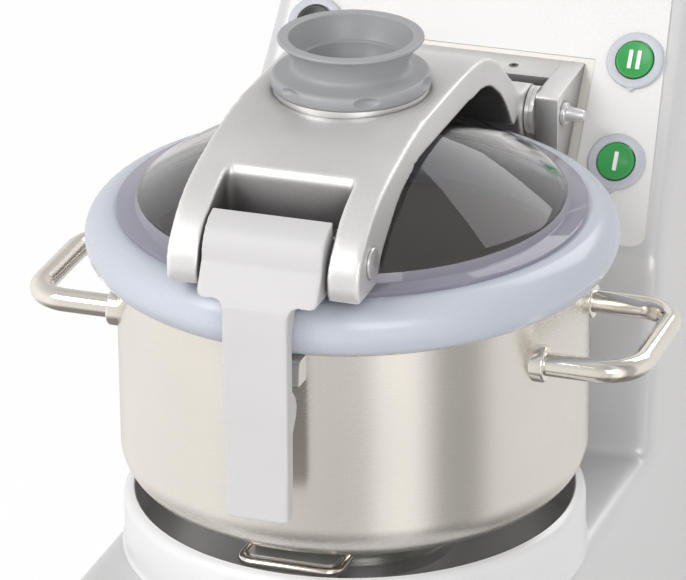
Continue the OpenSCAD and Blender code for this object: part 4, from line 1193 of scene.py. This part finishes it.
@dataclass
class Studio:
    """The pale floor, the soft lights and the camera."""

    far: float = 3.0111  # Distance of the camera from the bowl's axis, in metres
    high: float = 1.2913  # Height of the camera above the rim
    pitch: float = 0.4115  # Angle below the horizon, in radians
    roll: float = 0.0103  # Roll of the camera
    yaw: float = -0.002  # Small turn away from the axis
    turn: float = 0.3366  # Way round the machine
    lens: float = 290.9  # Focal length on a 36 mm frame
    sky_power: float = 1.0  # Strength of the light from round the object
    floor_glow: float = 0.92  # Share of plain white in the floor
    # Angle and brightness of each screen round the object
    screens: list[Flat] = field(default_factory=lambda: [
        (-179, 1.08), (-145, 1.08), (-118, 0.9), (-92, 0.8), (-66, 0.7), (-58, 1.08), (-41, 1.2),
        (-34, 0.85), (-27, 0.5), (-11, 0.48), (-2, 0.78), (25, 0.9), (60, 0.86), (110, 0.7),
        (140, 1.0), (179, 1.08)])
    # Tone overhead and below, and the slope and share where it starts and is full
    dimmed: list[tuple] = field(default_factory=lambda: [
        ((0.3, 0.3, 0.3), (-0.15, 0.0), (-0.8, 0.5)), ((0.1, 0.085, 0.075), (0.5, 0.0), (0.8, 0.8))])

    def build(self) -> None:
        """Builds the floor, the lights and the camera."""
        self.floor()
        self.sky()
        self.lamp("key", (-1.6, -2.2, 2.3), (0, -0.1, 0.35), 1.6, 50)
        self.lamp("front", (1.5, -2.6, 1.5), (0, -0.1, 0.3), 1.4, 24)
        self.lamp("back", (0.9, 1.9, 2.2), (0, 0, 0.4), 1.6, 22)
        self.camera()

    def floor(self) -> None:
        """Lays the floor, which shows white and keeps the object's shadow."""
        clear()
        bpy.ops.mesh.primitive_plane_add(size=40, location=(0, 0, 0))
        obj = bpy.context.object
        obj.name = "floor"
        mat = bpy.data.materials.new("pale_floor")
        graph = Graph(mat)
        shader = graph.fill(
            graph.nodes["Principled BSDF"], {"Base Color": (0.86, 0.86, 0.86, 1), "Roughness": 0.9})
        glow = graph.add("Emission", {"Color": (1, 1, 1, 1)})
        mix = graph.add("MixShader", {
            "Fac": self.seen(graph, self.floor_glow), 1: shader.outputs["BSDF"], 2: glow.outputs["Emission"]})
        graph.fill(graph.nodes["Material Output"], {"Surface": mix.outputs["Shader"]})
        obj.data.materials.append(mat)
        obj.visible_glossy = False

    @staticmethod
    def seen(graph: Graph, share: float) -> Socket:
        """Gives a share for rays that show the background, straight or through the clear dome.

        Args:
            graph: The nodes.
            share: The share.

        Returns:
            The share's value.
        """
        ray = graph.add("LightPath").outputs
        bounced = graph.reckon("ADD", ray["Diffuse Depth"], ray["Glossy Depth"])
        straight = graph.reckon("LESS_THAN", bounced, 0.5)
        through = graph.reckon("MULTIPLY", ray["Is Transmission Ray"], straight)
        return graph.reckon("MULTIPLY", graph.reckon("MAXIMUM", ray["Is Camera Ray"], through), share)

    def sky(self) -> None:
        """Sets a world that shows white, with light and dark screens round it for metal to mirror."""
        world = bpy.context.scene.world or bpy.data.worlds.new("studio")
        bpy.context.scene.world = world
        graph = Graph(world)
        way = graph.add("NewGeometry").outputs["Incoming"]
        part = graph.add("SeparateXYZ", {"Vector": way}).outputs
        turn = graph.spread(graph.reckon("ARCTAN2", part["Y"], part["X"]), (-math.pi, 0.0), (math.pi, 1.0))
        ramp = graph.add("ValToRGB", {"Fac": turn})
        stops = ramp.color_ramp.elements
        while len(stops) > 1:
            stops.remove(stops[-1])
        for i, (angle, level) in enumerate(self.screens):
            stop = stops[0] if i == 0 else stops.new(0.5)
            stop.position = ((angle + 180) / 360 + 0.5) % 1.0
            stop.color = (level, level * 0.985, level * 0.965, 1)
        light = ramp.outputs["Color"]
        for tone, start, full in self.dimmed:
            light = graph.tone(light, tone, graph.spread(part["Z"], start, full))
        soft = graph.fill(graph.nodes["Background"], {"Color": light, "Strength": self.sky_power})
        white = graph.add("Background", {"Color": (1, 1, 1, 1), "Strength": 1.0})
        mix = graph.add("MixShader", {
            "Fac": self.seen(graph, 1.0), 1: soft.outputs["Background"], 2: white.outputs["Background"]})
        graph.fill(graph.nodes["World Output"], {"Surface": mix.outputs["Shader"]})

    @staticmethod
    def lamp(name: str, place: Point, aim: Point, size: float, power: float) -> None:
        """Hangs one soft square lamp.

        Args:
            name: The lamp's name.
            place: Where it hangs, in metres.
            aim: Where it points.
            size: Its width.
            power: Its power in watts.
        """
        clear()
        bpy.ops.object.light_add(type="AREA", location=place)
        obj = bpy.context.object
        obj.name = name
        obj.data.size = size
        obj.data.energy = power
        obj.visible_transmission = False
        obj.rotation_euler = (Vector(aim) - Vector(place)).to_track_quat("-Z", "Y").to_euler()

    def camera(self) -> None:
        """Sets the camera where the photograph was taken from."""
        out = Vector((math.sin(self.yaw), math.cos(self.yaw), 0))
        side = Vector((math.cos(self.yaw), -math.sin(self.yaw), 0))
        up = Vector((0, 0, 1))
        ahead = math.cos(self.pitch) * out - math.sin(self.pitch) * up
        over = math.sin(self.pitch) * out + math.cos(self.pitch) * up
        right = math.cos(self.roll) * side - math.sin(self.roll) * over
        over = math.sin(self.roll) * side + math.cos(self.roll) * over
        turn = Matrix.Rotation(self.turn, 3, "Z")
        axes = [turn @ v for v in (right, over, -ahead)]
        place = turn @ Vector((0, -self.far, self.high)) + Vector((0, AXIS_Y, RIM_Z))
        clear()
        bpy.ops.object.camera_add()
        cam = bpy.context.object
        cam.matrix_world = Matrix.Translation(place) @ Matrix(axes).transposed().to_4x4()
        cam.data.sensor_fit = "HORIZONTAL"
        cam.data.sensor_width = 36
        cam.data.lens = self.lens
        cam.data.clip_end = 100
        bpy.context.scene.camera = cam


def main() -> None:
    """Builds every sub-assembly in order."""
    logging.basicConfig(level=logging.INFO, format="%(message)s")
    clear()
    for part in (Housing(), Bowl(), Lid(), Arm(), Lever(), Hopper(), Hinge(), Panel(), Inside(), Studio()):
        part.build()
        log.info("%s is done", type(part).__name__)
    bpy.context.scene.view_settings.view_transform = "Standard"
    bpy.context.view_layer.update()


if __name__ == "__main__":
    main()
